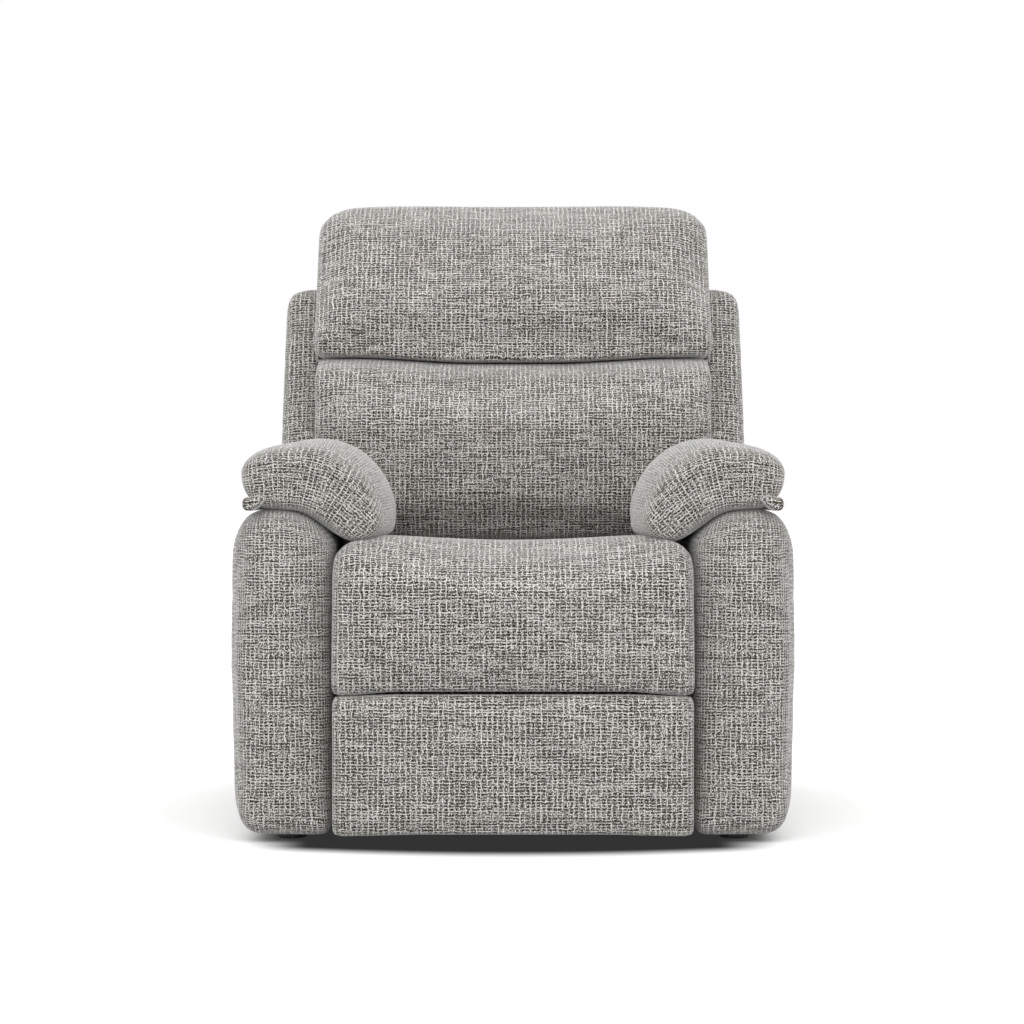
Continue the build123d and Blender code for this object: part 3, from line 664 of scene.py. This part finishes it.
def new_material(name, group, coordinates, values, bump, distance, **shader):
    """A material on the Principled BSDF, fed by one group. Plain numbers go to the shader."""
    material = bpy.data.materials.new(name)
    material.use_nodes = True
    t = Tree(material.node_tree)
    bsdf = material.node_tree.nodes["Principled BSDF"]
    for key, value in shader.items():
        bsdf.inputs[key.replace("_", " ")].default_value = value
    if coordinates == "cloth":
        place = t.node("ShaderNodeUVMap", uv_map="cloth").outputs["UV"]
    else:
        place = t.node("ShaderNodeTexCoord").outputs["Object"]
    fill = t.node("ShaderNodeGroup", node_tree=group)
    t.link(place, fill.inputs[0])
    if "Seam" in fill.inputs:
        seam = t.node("ShaderNodeAttribute", attribute_type="GEOMETRY", attribute_name="seam")
        t.link(seam.outputs["Fac"], fill.inputs["Seam"])
    for key, value in values.items():
        t.link(value, fill.inputs[key])
    t.link(fill.outputs["Color"], bsdf.inputs["Base Color"])
    if "Roughness" in fill.outputs:
        t.link(fill.outputs["Roughness"], bsdf.inputs["Roughness"])
    if "Metal" in fill.outputs and "Metallic" not in shader:
        t.link(fill.outputs["Metal"], bsdf.inputs["Metallic"])
    lumps = t.node("ShaderNodeBump", {"Strength": bump, "Distance": distance,
                                      "Height": fill.outputs["Height"]})
    t.link(lumps.outputs["Normal"], bsdf.inputs["Normal"])
    return material


CLOTH = new_material("basket_weave_cloth", WEAVE, "cloth", {}, bump=0.75, distance=0.0016,
                     Roughness=0.92, Sheen_Weight=0.90, Sheen_Roughness=0.40)
CLOTH.node_tree.nodes["Principled BSDF"].inputs["Specular IOR Level"].default_value = 0.12
PLYWOOD = new_material("birch_plywood", GRAIN, "object", {"Plies": 0.35}, bump=0.25,
                       distance=0.0004)
SOFTWOOD = new_material("sawn_softwood", GRAIN, "object",
                        {"Pale": (0.66, 0.50, 0.31, 1), "Dark": (0.42, 0.27, 0.14, 1)},
                        bump=0.35, distance=0.0005)


def hard_material(name, values, bump=0.10, distance=0.0002, **shader):
    return new_material(name, HANDLING, "object", values, bump, distance, **shader)


BLACK_STEEL = hard_material("black_painted_steel",
                            {"Finish": (0.022, 0.022, 0.024, 1), "Rub": 0.8}, bump=0.12)
ZINC = hard_material("zinc_plated_steel", {"Finish": (0.56, 0.56, 0.54, 1),
                                           "Bare": (0.35, 0.33, 0.30, 1), "Rub": 0.5}, Metallic=0.9)
SPRING_STEEL = hard_material("oil_tempered_wire", {"Finish": (0.17, 0.165, 0.16, 1), "Rub": 0.4,
                                                   "Dusty": 0.3}, Metallic=0.85)
NYLON = hard_material("natural_nylon", {"Finish": (0.74, 0.72, 0.64, 1),
                                        "Bare": (0.60, 0.58, 0.52, 1)}, bump=0.08, Metallic=0.0)
BLACK_PLASTIC = hard_material("grained_black_plastic", {
    "Finish": (0.030, 0.030, 0.032, 1), "Bare": (0.12, 0.12, 0.12, 1), "Speckle": 1500.0,
}, bump=0.35, distance=0.0003, Metallic=0.0)
SHEATH = hard_material("black_cable_sheath", {
    "Finish": (0.025, 0.025, 0.025, 1), "Bare": (0.10, 0.10, 0.10, 1), "Speckle": 900.0,
}, bump=0.2, Metallic=0.0)


def finish_node(name, material):
    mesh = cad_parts[name].data
    mesh.materials.clear()
    mesh.materials.append(material)


# the nodes of each material, by how their names start; the longest start counts
FINISHES = (
    (PLYWOOD, "arm_inner_panel arm_outer_panel footrest_board back_stile back_post"),
    (SOFTWOOD, "arm_ base_ seat_side_rail seat_front_rail seat_rear_rail back_cross_rails "
               "back_wing_rails"),
    (SPRING_STEEL, "seat_springs back_springs"),
    (ZINC, "arm_bolts plate_pins back_hinge_pins front_link_pins lower_link_pins footrest_pins "
           "seat_spring_clips"),
    (NYLON, "slide_shoes"),
    (BLACK_PLASTIC, "floor_glides release_bezel release_lever"),
    (SHEATH, "release_cable"),
)
NODE_FINISHES = {start: material for material, starts in FINISHES for start in starts.split()}
for node_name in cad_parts:
    starts = [start for start in NODE_FINISHES if node_name.startswith(start)]
    finish_node(node_name, NODE_FINISHES[max(starts, key=len)] if starts else BLACK_STEEL)


def dress(piece, body, fill, *nodes):
    """Covers a finished soft piece and puts it on its body."""
    piece.data.materials.clear()
    piece.data.materials.append(CLOTH)
    smooth_shade(piece)
    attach(piece, body)
    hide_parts(*nodes)


def dress_pair(left, body, fill, node):
    """Dresses a piece and a mirrored twin of it, in place of the left and right nodes."""
    right = mirrored(left, left.name.replace("_left", "_right"))
    dress(left, body, fill, node + "_left")
    dress(right, body, fill, node + "_right")


# -------------------- seat

seat_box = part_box("seat_cushion")
SEAT_HALF = seat_box[1].x
SEAT_WIDE = SEAT_HALF + 0.0070
SEAT_TOP, SEAT_UNDER, SEAT_LIP = 0.476, 0.352, seat_box[0].z - 0.0075
SEAT_REAR = seat_box[1].y - 0.002
seat_shape = outline([
    (FRONT + 0.001, SEAT_LIP, 0.006, 0.005),
    (FRONT + 0.003, SEAT_TOP, 0.060, 0.034),
    (FRONT + 0.150, SEAT_TOP, 0.0, 0.036),
    (SEAT_REAR, 0.452, 0.034, 0.030),
    (SEAT_REAR, SEAT_UNDER, 0.0, 0.010),
    (FRONT + 0.063, SEAT_UNDER, 0.010, 0.010),
    (FRONT + 0.063, SEAT_LIP, 0.010, 0.008),
])
# how far its top dips in the middle, its front stands out, and its lower edge is drawn up
SEAT_DIP, SEAT_BULGE, SEAT_TUCK = 0.010, 0.003, 0.0068
seat = form("seat_cover", seat_shape, "X", -SEAT_WIDE, SEAT_WIDE)


def seat_hold(x, y, z):
    """The seat swells on its top and front only."""
    sides = drop(np.abs(x), SEAT_WIDE - 0.006, 0.03)
    top_or_front = np.maximum(rise(z, 0.36, 0.05), drop(y, FRONT + 0.030, 0.02))
    return top_or_front * sides * rise(z, 0.243, 0.02)


stuff(seat, 4.0, 0.012, seat_hold)
push(seat, lambda x, y, z: shifts(
    y=-SEAT_BULGE * hump(x, 0, 0.27) * hump(z, 0.36, 0.11) * (y < FRONT + 0.05),
    z=-SEAT_DIP * hump(x, 0, 0.27) * rise(z, 0.40, 0.06)
    + SEAT_TUCK * shelf(x, 0.285, 0.11) * drop(z, 0.30, 0.06),
))
lay_cloth(seat, seat_shape, "X", (0.31, 0.17))
dress(seat, "seat_carriage", 0.75, "seat_cushion")

# -------------------- footrest

foot_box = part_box("footrest_pad")
FOOT_LOW, FOOT_HIGH = foot_box[0].z - 0.0055, foot_box[1].z - 0.0015
foot_shape = outline([
    (FRONT + 0.001, FOOT_LOW, 0.008, 0.008),
    (FRONT + 0.001, FOOT_HIGH, 0.006, 0.007),
    (FRONT + 0.034, FOOT_HIGH, 0.003, 0.004),
    (FRONT + 0.034, FOOT_LOW, 0.003, 0.004),
])
FOOT_WIDE = foot_box[1].x + 0.0065
footrest = form("footrest_cover", foot_shape, "X", -FOOT_WIDE, FOOT_WIDE)


def foot_hold(x, y, z):
    """The footrest swells on its front only."""
    edge = np.minimum(FOOT_WIDE - np.abs(x), np.minimum(z - foot_box[0].z, foot_box[1].z - z))
    return drop(y, FRONT + 0.014, 0.010) * rise(edge, 0, 0.02)


stuff(footrest, 4.0, 0.006, foot_hold, voxel=FINE_VOXEL, soften=1)
FOOT_LIFT_TOP, FOOT_LIFT_LOW = 0.0030, 0.0025  # of its edges, in the middle
push(footrest, lambda x, y, z: shifts(
    z=FOOT_LIFT_TOP * shelf(x, 0.285, 0.11) * rise(z, 0.18, 0.05)
    + FOOT_LIFT_LOW * shelf(x, 0.285, 0.15) * drop(z, 0.08, 0.05),
))
lay_cloth(footrest, foot_shape, "X", (1.13, 0.62))
dress(footrest, "footrest", 0.6, "footrest_pad")

# -------------------- back cushions

LEAN = math.tan(math.radians(14))
SPRINGS_Y, SPRINGS_Z = 0.170 - 0.0052, 0.300  # a place on the plane of the springs
SEAM_Z = 0.796  # between the lumbar and head cushions
SEAM_DROOP = 0.0094
LUMBAR_HALF, HEAD_HALF = 0.3530, 0.3595
LUMBAR_LOW, LUMBAR_HIGH = 0.454, 0.7945
HEAD_LOW, HEAD_HIGH, HEAD_BACK = 0.7975, 1.076, REAR - 0.003


def frame_y(z):
    """The plane of the springs, where the back cushions end."""
    return SPRINGS_Y + (z - SPRINGS_Z) * LEAN


lumbar_shape = outline([
    (0.014, LUMBAR_LOW, 0.030, 0.030),
    (0.002, 0.552, 0.0, 0.036),
    (0.002, 0.690, 0.080, 0.030),
    (0.030, 0.7705, 0.034, 0.008),
    (0.104, LUMBAR_HIGH, 0.004, 0.003),
    (frame_y(LUMBAR_HIGH) - 0.002, LUMBAR_HIGH, 0.0, 0.003),
    (frame_y(LUMBAR_LOW) - 0.002, LUMBAR_LOW, 0.0, 0.020),
])
lumbar = form("lumbar_cover", lumbar_shape, "X", -LUMBAR_HALF, LUMBAR_HALF)


def narrowed(x, limit):
    """Draws in the points that lie further aside than the limit."""
    return shifts(x=np.sign(x) * np.minimum(np.abs(x), limit) - x)


def narrow_low(x, y, z):
    """Below the arms' tops the back goes between them."""
    return narrowed(x, 0.356 - 0.085 * drop(z, 0.575, 0.045) ** 1.5)


def lumbar_hold(x, y, z):
    """The lumbar cushion swells forward, below its seam."""
    front = drop(y, frame_y(z) - 0.05, 0.05)
    return front * drop(z, 0.784, 0.03) * np.maximum(drop(np.abs(x), 0.354, 0.012), 0.1)


stuff(lumbar, 4.0, 0.014, lumbar_hold)
push(lumbar, narrow_low)

head_shape = outline([
    (0.079, HEAD_LOW, 0.010, 0.003),
    (0.0750, 0.835, 0.050, 0.024),
    (0.098, 0.905, 0.100, 0.036),
    (0.143, 0.990, 0.200, 0.040),
    (0.190, HEAD_HIGH, 0.052, 0.036),
    (HEAD_BACK, HEAD_HIGH, 0.040, 0.036),
    (HEAD_BACK, 1.034, 0.006, 0.010),
    (frame_y(1.034) - 0.002, 1.034, 0.0, 0.010),
    (frame_y(HEAD_LOW) - 0.002, HEAD_LOW, 0.0, 0.003),
])
head = form("head_cover", head_shape, "X", -HEAD_HALF, HEAD_HALF)


def head_hold(x, y, z):
    """The head cushion swells forward and up, above its seam."""
    front_or_top = np.maximum(drop(y, frame_y(z) - 0.04, 0.05), rise(z, 1.045, 0.02))
    sides = np.maximum(drop(np.abs(x), 0.3605, 0.012), 0.1)
    return front_or_top * rise(z, 0.802, 0.03) * sides


stuff(head, 4.0, 0.012, head_hold)


def droop(x, y, z):
    """The seam between the back cushions hangs lower in the middle."""
    return shifts(z=-SEAM_DROOP * shelf(x, 0.29, 0.22) * hump(z, SEAM_Z, 0.16))


push(lumbar, droop)
push(head, droop)
HEAD_FALL = 0.0065  # of its top, towards its corners
push(head, lambda x, y, z: shifts(
    z=-HEAD_FALL * rise(np.abs(x), 0.18, 0.15) ** 2 * rise(z, 0.96, 0.10),
))
lay_cloth(lumbar, lumbar_shape, "X", (2.07, 0.04), sewn=False)
lay_cloth(head, head_shape, "X", (3.02, 0.45), sewn=False)
dress(lumbar, "backrest", 0.7, "lumbar_cushion")

# closed cheeks beside the frame, over the wings
cheek_shape = outline([
    (frame_y(0.912) - 0.020, 0.912, 0.004, 0.008),
    (frame_y(1.033) - 0.020, 1.044, 0.0, 0.010),
    (REAR - 0.026, 1.044, 0.0, 0.010),
    (REAR - 0.0475, 0.912, 0.004, 0.008),
])
cheek = form("head_cheek", cheek_shape, "X", 0.262, 0.3535)
lay_cloth(cheek, cheek_shape, "X", (3.31, 0.85))
cheek_twin = mirrored(cheek, "head_cheek_twin")
bpy.ops.object.select_all(action="DESELECT")
for part in (head, cheek, cheek_twin):
    part.select_set(True)
bpy.context.view_layer.objects.active = head
bpy.ops.object.join()
dress(head, "backrest", 0.7, "head_cushion")

# -------------------- wings

wing_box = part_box("wing_left")
WING_LOW, WING_HIGH = wing_box[0].z + 0.001, wing_box[1].z + 0.003
WING_FLARE = 0.004
wing_shape = outline([
    (wing_box[0].y + 0.002, WING_LOW, 0.030, 0.016),
    (REAR - 0.229, WING_HIGH, 0.030, 0.020),
    (REAR - 0.020, WING_HIGH, 0.008, 0.016),
    (REAR - 0.088, WING_LOW, 0.008, 0.012),
])
wing = form("wing_cover_left", wing_shape, "X", wing_box[0].x - 0.007, wing_box[1].x - 0.004,
            low_round=False)


def wing_hold(x, y, z):
    """The wing swells on its outer side, above its foot."""
    return rise(x - wing_box[0].x, 0.02, 0.02) * rise(z - wing_box[0].z, 0.004, 0.02)


stuff(wing, 3.0, 0.006, wing_hold, voxel=0.0085, soften=2)


def flare(x, y, z):
    """The wings stand a little wider apart at the bottom."""
    fall = drop(z, wing_box[1].z, wing_box[1].z - wing_box[0].z)
    return shifts(x=WING_FLARE * fall * rise(x, wing_box[0].x, 0.05))


push(wing, flare)
lay_cloth(wing, wing_shape, "X", (4.11, 0.23))
dress_pair(wing, "backrest", 0.6, "wing")

# -------------------- outer back

BACK_HALF, BACK_LOW_HALF = 0.357, 0.271
BACK_THICK, BACK_CROWN = 0.020, 0.006
PANEL_RUN, PANEL_RISE, PANEL_FOOT = 0.168, 0.920, 0.110


def panel_y(z):
    """The rear face of the outer back."""
    return (REAR - PANEL_RUN) + (z - PANEL_FOOT) * PANEL_RUN / PANEL_RISE


back_shape = slab(0.112, 1.037, (panel_y, 0.006, 0.010),
                  (lambda z: panel_y(z) - BACK_THICK, 0.004, 0.004))
outer = form("outer_back_cover", back_shape, "X", -BACK_HALF, BACK_HALF)
remesh(outer, FINE_VOXEL)
push(outer, lambda x, y, z: narrowed(x, np.where(z < 0.553, BACK_LOW_HALF, BACK_HALF)))
settle(outer, 2)
push(outer, lambda x, y, z: shifts(
    y=BACK_CROWN * hump(x, 0, 0.36) * hump(z, 0.70, 0.42) * (y > panel_y(z) - 0.008),
))
lay_cloth(outer, back_shape, "X", (5.17, 0.36))
dress(outer, "backrest", 0.3, "outer_back")

# cloth that closes the back's lower sides, beside the stiles
side_shape = slab(0.345, 0.557, (lambda z: frame_y(z) + 0.002, 0.004, 0.003),
                  (lambda z: panel_y(z) - 0.015, 0.004, 0.003))
back_side = form("back_side_cover_left", side_shape, "X", 0.2585, 0.2675)
lay_cloth(back_side, side_shape, "X", (5.61, 0.88), sewn=False)
back_side_right = mirrored(back_side, "back_side_cover_right")

# cloth below the lumbar cushion, over the stiles and the springs
apron_shape = slab(0.352, 0.472, (lambda z: frame_y(z) - 0.0085, 0.003, 0.003),
                   (lambda z: frame_y(z) - 0.0010, 0.003, 0.003))
back_apron = form("back_apron", apron_shape, "X", -0.2575, 0.2575)
lay_cloth(back_apron, apron_shape, "X", (3.31, 0.27), sewn=False)
for cover in (back_side, back_side_right, back_apron):
    dress(cover, "backrest", 0.3)

# -------------------- arms

ARM_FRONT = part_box("arm_body_left")[0].y
ARM_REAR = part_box("arm_body_left")[1].y
bezel_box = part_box("release_bezel")
HANDLE_Y = (bezel_box[0].y + bezel_box[1].y) / 2
HANDLE_Z = (bezel_box[0].z + bezel_box[1].z) / 2
ARM_TURN = 0.150  # the round of its top behind
ARM_EDGE = 0.0115  # how far its inner side stands out along the seat's edge
arm_shape = outline([
    (ARM_IN + 0.0065, FLOOR_GAP - 0.0085, 0.006, 0.010),
    (ARM_IN + 0.0060, ARM_TOP + 0.001, 0.078, 0.052),
    (ARM_OUT - 0.006, ARM_TOP + 0.002, 0.050, 0.050),
    (ARM_OUT - 0.0035, 0.300, 0.0, 0.026),
    (ARM_OUT - 0.0075, 0.170, 0.0, 0.024),
    (ARM_OUT - 0.0145, FLOOR_GAP - 0.0085, 0.038, 0.018),
])
arm = form("arm_cover_left", arm_shape, "Y", ARM_FRONT, ARM_REAR - 0.001)


def round_rear(x, y, z):
    """Rounds the arm's top behind, where the back passes over it."""
    dy, dz = y - (ARM_REAR - ARM_TURN), z - (ARM_TOP - ARM_TURN)
    far = np.hypot(dy, dz)
    out = (dy > 0) & (dz > 0) & (far > ARM_TURN)
    scale = np.where(out, ARM_TURN / np.maximum(far, 1e-6), 1)
    return shifts(y=dy * (scale - 1), z=dz * (scale - 1))


def arm_hold(x, y, z):
    """The arm swells on its outer side and front, but not round the cup of the handle."""
    outer = rise(x - ARM_IN, 0.03, 0.05)
    front = drop(y, ARM_FRONT + 0.03, 0.02)
    cup = 1 - hump(y, HANDLE_Y, 0.14) * hump(z, HANDLE_Z, 0.12)
    low, top = rise(z - FLOOR_GAP, 0.004, 0.03), drop(z, ARM_TOP - 0.008, 0.03)
    return np.maximum(outer, front * 0.9) * low * cup * top


remesh(arm, VOXEL)
push(arm, round_rear)
stuff(arm, 3.0, 0.007, arm_hold)
push(arm, lambda x, y, z: shifts(
    x=-ARM_EDGE * hump(z, 0.480, 0.036) * drop(x, ARM_IN + 0.03, 0.03),
))
ARM_PANEL = outline([
    (ARM_IN - 0.0300, FLOOR_GAP - 0.004, 0.008, 0.0),
    (ARM_IN - 0.0300, ARM_TOP - 0.065, 0.010, 0.0),
    (ARM_IN + 0.032, ARM_TOP - 0.037, 0.030, 0.0),
    (ARM_OUT - 0.021, ARM_TOP - 0.037, 0.012, 0.0),
    (ARM_OUT - 0.0170, 0.300, 0.0, 0.0),
    (ARM_OUT - 0.0230, FLOOR_GAP + 0.004, 0.030, 0.0),
])
lay_cloth(arm, arm_shape, "Y", (6.05, 0.41), lip=0.045, inset=0, panel=ARM_PANEL)
arm_right = mirrored(arm, "arm_cover_right")
cutter = new_mesh("cup_cutter", [(x, y, z) for x in (bezel_box[0].x - 0.001, ARM_OUT + 0.05)
                                 for y in (bezel_box[0].y + 0.0005, bezel_box[1].y - 0.0005)
                                 for z in (bezel_box[0].z + 0.0005, bezel_box[1].z - 0.0005)],
                  [(0, 1, 3, 2), (4, 6, 7, 5), (0, 4, 5, 1), (2, 3, 7, 6), (0, 2, 6, 4),
                   (1, 5, 7, 3)])
face_outwards(cutter)
with_modifier(arm, "BOOLEAN", operation="DIFFERENCE", object=cutter, solver="EXACT")
bpy.data.objects.remove(cutter)
dress(arm, "base", 0.55, "arm_body_left")
dress(arm_right, "base", 0.55, "arm_body_right")

# -------------------- arm pads

pad_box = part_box("arm_pad_left")
# x from the inner side of the arm, z from its top, of the front panel, body and rear end
PAD_KNOTS = [
    ((0.1441, 0.0530), (0.1595, 0.0540), (0.1440, 0.0540)),
    ((0.1362, 0.0720), (0.1540, 0.0760), (0.1390, 0.0740)),
    ((0.1090, 0.0870), (0.1260, 0.0935), (0.1110, 0.0900)),
    ((0.0461, 0.0925), (0.0540, 0.1095), (0.0540, 0.1010)),
    ((0.0171, 0.0860), (0.0210, 0.1115), (0.0240, 0.1020)),
    ((-0.0128, 0.0660), (-0.0180, 0.1000), (-0.0040, 0.0910)),
    ((-0.0379, 0.0435), (-0.0505, 0.0750), (-0.0300, 0.0690)),
    ((-0.0552, 0.0220), (-0.0710, 0.0465), (-0.0480, 0.0420)),
    ((-0.0670, 0.0000), (-0.0840, 0.0125), (-0.0600, 0.0100)),
    ((-0.0715, -0.0185), (-0.0880, -0.0145), (-0.0630, -0.0150)),
    ((-0.0677, -0.0365), (-0.0812, -0.0400), (-0.0570, -0.0360)),
    ((-0.0489, -0.0460), (-0.0523, -0.0470), (-0.0390, -0.0420)),
    ((-0.0296, -0.0500), (-0.0268, -0.0510), (-0.0240, -0.0460)),
    ((-0.0062, -0.0370), (-0.0040, -0.0450), (-0.0020, -0.0400)),
    ((0.0119, -0.0215), (0.0151, -0.0350), (0.0150, -0.0320)),
    ((0.0533, 0.0000), (0.0570, -0.0065), (0.0570, -0.0050)),
    ((0.1112, 0.0080), (0.1156, -0.0040), (0.1156, -0.0020)),
    ((0.1384, 0.0270), (0.1460, 0.0265), (0.1380, 0.0270)),
]
PAD_SWELL = 0.15  # how far behind the front panel the pad is at its fullest
PAD_TAPER = 0.20  # how far from the rear end it starts to fall away
PAD_BACK = 0.040  # how far the front panel stands behind the solid pad's front


def pad_outline(which):
    """The outline through one column of the knots, a little larger as it stands further back."""
    grown = 1 + PAD_BACK / VIEW_DISTANCE
    return smooth_outline([((ARM_IN + k[which][0]) * grown, ARM_TOP + k[which][1] * grown)
                           for k in PAD_KNOTS], 108, 0.0)[0]


PAD_FRONT, PAD_BODY, PAD_REAR = (pad_outline(which) for which in range(3))


def pad_at(y):
    """The pad's outline at a depth."""
    full = rise(y - pad_box[0].y, PAD_BACK, PAD_SWELL)
    full = math.sin(full * math.pi / 2) ** 0.75
    fall = eased(rise(y - pad_box[1].y, -PAD_TAPER, PAD_TAPER))
    return (PAD_FRONT * (1 - full) + PAD_BODY * full) * (1 - fall) + PAD_REAR * fall


pad_shape = (PAD_BODY, np.full(len(PAD_BODY), 0.010))
pad = pillow("arm_pad_cover_left", pad_at, pad_box[0].y + PAD_BACK, pad_box[1].y - 0.002,
             low_round=0.015, high_round=0.024)


def pad_hold(x, y, z):
    """The pad swells away from the arm that it rests on."""
    inner = drop(x, ARM_IN - 0.02, 0.03) * rise(z, 0.496, 0.03)
    return np.maximum(rise(z, ARM_TOP + 0.014, 0.03), inner)


stuff(pad, 4.0, 0.004, pad_hold, voxel=FINE_VOXEL, soften=1)

# the middle line of the front panel, along which its weave runs
PAD_SPINE = [(0.143, 0.060), (0.100, 0.066), (0.055, 0.066), (0.014, 0.056), (-0.024, 0.034),
             (-0.056, 0.007), (-0.088, -0.024)]


def pad_front(flat):
    """The pad's front panel, whose weave follows the arch of the pad."""
    spine = np.array([(ARM_IN + x, ARM_TOP + z) for x, z in PAD_SPINE])
    fine = []
    for k in range(len(spine) - 1):
        for s in range(8):
            fine.append(spine[k] + (spine[k + 1] - spine[k]) * s / 8)
    fine = np.array(fine + [spine[-1]])
    long = np.concatenate([[0], np.cumsum(np.linalg.norm(np.diff(fine, axis=0), axis=1))])
    off = np.linalg.norm(flat[:, None, :] - fine[None], axis=2)
    weight = np.exp(-(off - off.min(axis=1)[:, None]) / 0.008)
    weight /= weight.sum(axis=1)[:, None]
    along = weight @ long
    way = np.gradient(fine, axis=0)
    way /= np.linalg.norm(way, axis=1)[:, None]
    near = weight @ fine
    side = weight @ np.stack([way[:, 1], -way[:, 0]], 1)
    side /= np.linalg.norm(side, axis=1)[:, None]
    rel = flat - near
    lean = np.sum(rel * np.stack([-side[:, 1], side[:, 0]], 1), axis=1)
    return np.stack([-(along + lean), -np.sum(rel * side, axis=1)], 1)


lay_cloth(pad, pad_shape, "Y", (7.33, 0.52), cap_map=pad_front, lip=0.035, inset=0,
          turned=True, sewn=False)
dress_pair(pad, "base", 0.65, "arm_pad")

# rolled edge under the outer side of the pad
flap_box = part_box("arm_flap_left")
FLAP_X, FLAP_Z = 0.4195, 0.5366  # the middle of its roll
FLAP_KNOTS = [(0.0089, 0.0), (0.0062, 0.0082), (0.0, 0.0115), (-0.0110, 0.0125),
              (-0.0230, 0.0115), (-0.0270, 0.0065), (-0.0235, 0.0015), (-0.0180, -0.0036),
              (-0.0100, -0.0088), (-0.0015, -0.0112), (0.0060, -0.0082)]
flap_shape = smooth_outline([(FLAP_X + x, FLAP_Z + z) for x, z in FLAP_KNOTS], 48, 0.004)
flap = form("arm_flap_cover_left", flap_shape, "Y", flap_box[0].y + 0.022, flap_box[1].y)
with_modifier(flap, "SUBSURF", levels=1, render_levels=1)
lay_cloth(flap, flap_shape, "Y", (8.21, 0.14))
dress_pair(flap, "base", 0.4, "arm_flap")

# -------------------- room, light, camera

def seen_directly(tree):
    """1 where the camera looks, or where gloss or glass shows, and 0 for all other light."""
    rays = tree.node("ShaderNodeLightPath")
    return tree.math("MAXIMUM", rays.outputs["Is Camera Ray"],
                     tree.math("MAXIMUM", rays.outputs["Is Glossy Ray"],
                               rays.outputs["Is Transmission Ray"]))


WHITE_FLOOR = bpy.data.materials.new("white_floor")
WHITE_FLOOR.use_nodes = True
t = Tree(WHITE_FLOOR.node_tree)
WHITE_FLOOR.node_tree.nodes.clear()
plain = t.node("ShaderNodeBsdfDiffuse", {"Color": (0.60, 0.60, 0.60, 1)})
seen = t.node("ShaderNodeBsdfDiffuse", {"Color": (1.05, 1.05, 1.05, 1)})
# a painted shadow on the floor under the chair: inside a mask the camera sees a faint dark glow in
# place of the lit floor, and the mask's front edge bows forward in the middle
SHADE_FRONT, SHADE_BOW, SHADE_SOFT = -0.540, 0.072 / 0.42 ** 2, 0.038
SHADE_SIDE, SHADE_SIDE_FULL = 0.43, 0.32
painted_shadow_glow = t.node("ShaderNodeEmission", {"Color": (0.033, 0.033, 0.033, 1)})
aside, ahead, _ = t.split(t.node("ShaderNodeTexCoord").outputs["Object"])
aside = t.math("ABSOLUTE", aside)
behind = t.math("SUBTRACT", ahead, t.times(t.times(aside, aside), SHADE_BOW, SHADE_FRONT))
# under is the mask of the painted shadow, soft at its front, fading out at the sides and behind the
# chair
under = t.times(t.ramp(behind, -SHADE_SOFT, SHADE_SOFT),
                t.ramp(aside, SHADE_SIDE, SHADE_SIDE_FULL))
under = t.times(under, t.ramp(ahead, REAR - 0.10, REAR - 0.25))
# where the mask is full, the floor shows the painted shadow instead of its own shading
floor_with_painted_shadow = t.blend(under, seen.outputs[0], painted_shadow_glow.outputs[0])
t.node("ShaderNodeOutputMaterial",
       {"Surface": t.blend(seen_directly(t), plain.outputs[0], floor_with_painted_shadow)})

floor = new_mesh("studio_floor", [(-40, -40, 0), (40, -40, 0), (40, 40, 0), (-40, 40, 0)],
                 [(0, 1, 2, 3)])
floor.data.materials.append(WHITE_FLOOR)

# how bright the sky is all round, and how much more overhead, at the sides and in front
SKY_LEVEL, SKY_TOP, SKY_SIDE, SKY_FRONT = 0.15, 1.05, 0.40, 1.16

world = bpy.data.worlds.new("studio")
bpy.context.scene.world = world
world.use_nodes = True
w = Tree(world.node_tree)
world.node_tree.nodes.clear()
side, back, up = w.split(w.node("ShaderNodeTexCoord").outputs["Generated"])
sky = w.times(w.math("MAXIMUM", up, 0.0), SKY_TOP, SKY_LEVEL)
ahead = w.times(w.math("MAXIMUM", w.times(back, -1.0), 0.0),
                w.math("ADD", w.math("MAXIMUM", up, 0.0), 0.26))
sky = w.times(ahead, SKY_FRONT, sky)
sky = w.times(w.math("ABSOLUTE", side), SKY_SIDE, sky)
soft = w.node("ShaderNodeBackground", {"Color": (1, 1, 1, 1), "Strength": sky})
paper = w.node("ShaderNodeBackground", {"Color": (1, 1, 1, 1), "Strength": 1.0})
w.node("ShaderNodeOutputWorld",
       {"Surface": w.blend(seen_directly(w), soft.outputs[0], paper.outputs[0])})

camera_data = bpy.data.cameras.new("camera")
camera_data.sensor_width = SENSOR
camera_data.lens = LENS
camera_data.shift_x = -0.001
camera = new_object("camera", camera_data)
camera.location = (0.0, FRONT - VIEW_DISTANCE, VIEW_HEIGHT)
camera.rotation_euler = (math.radians(90 - VIEW_DIP), 0, 0)
bpy.context.scene.camera = camera
bpy.context.scene.view_settings.view_transform = "Standard"
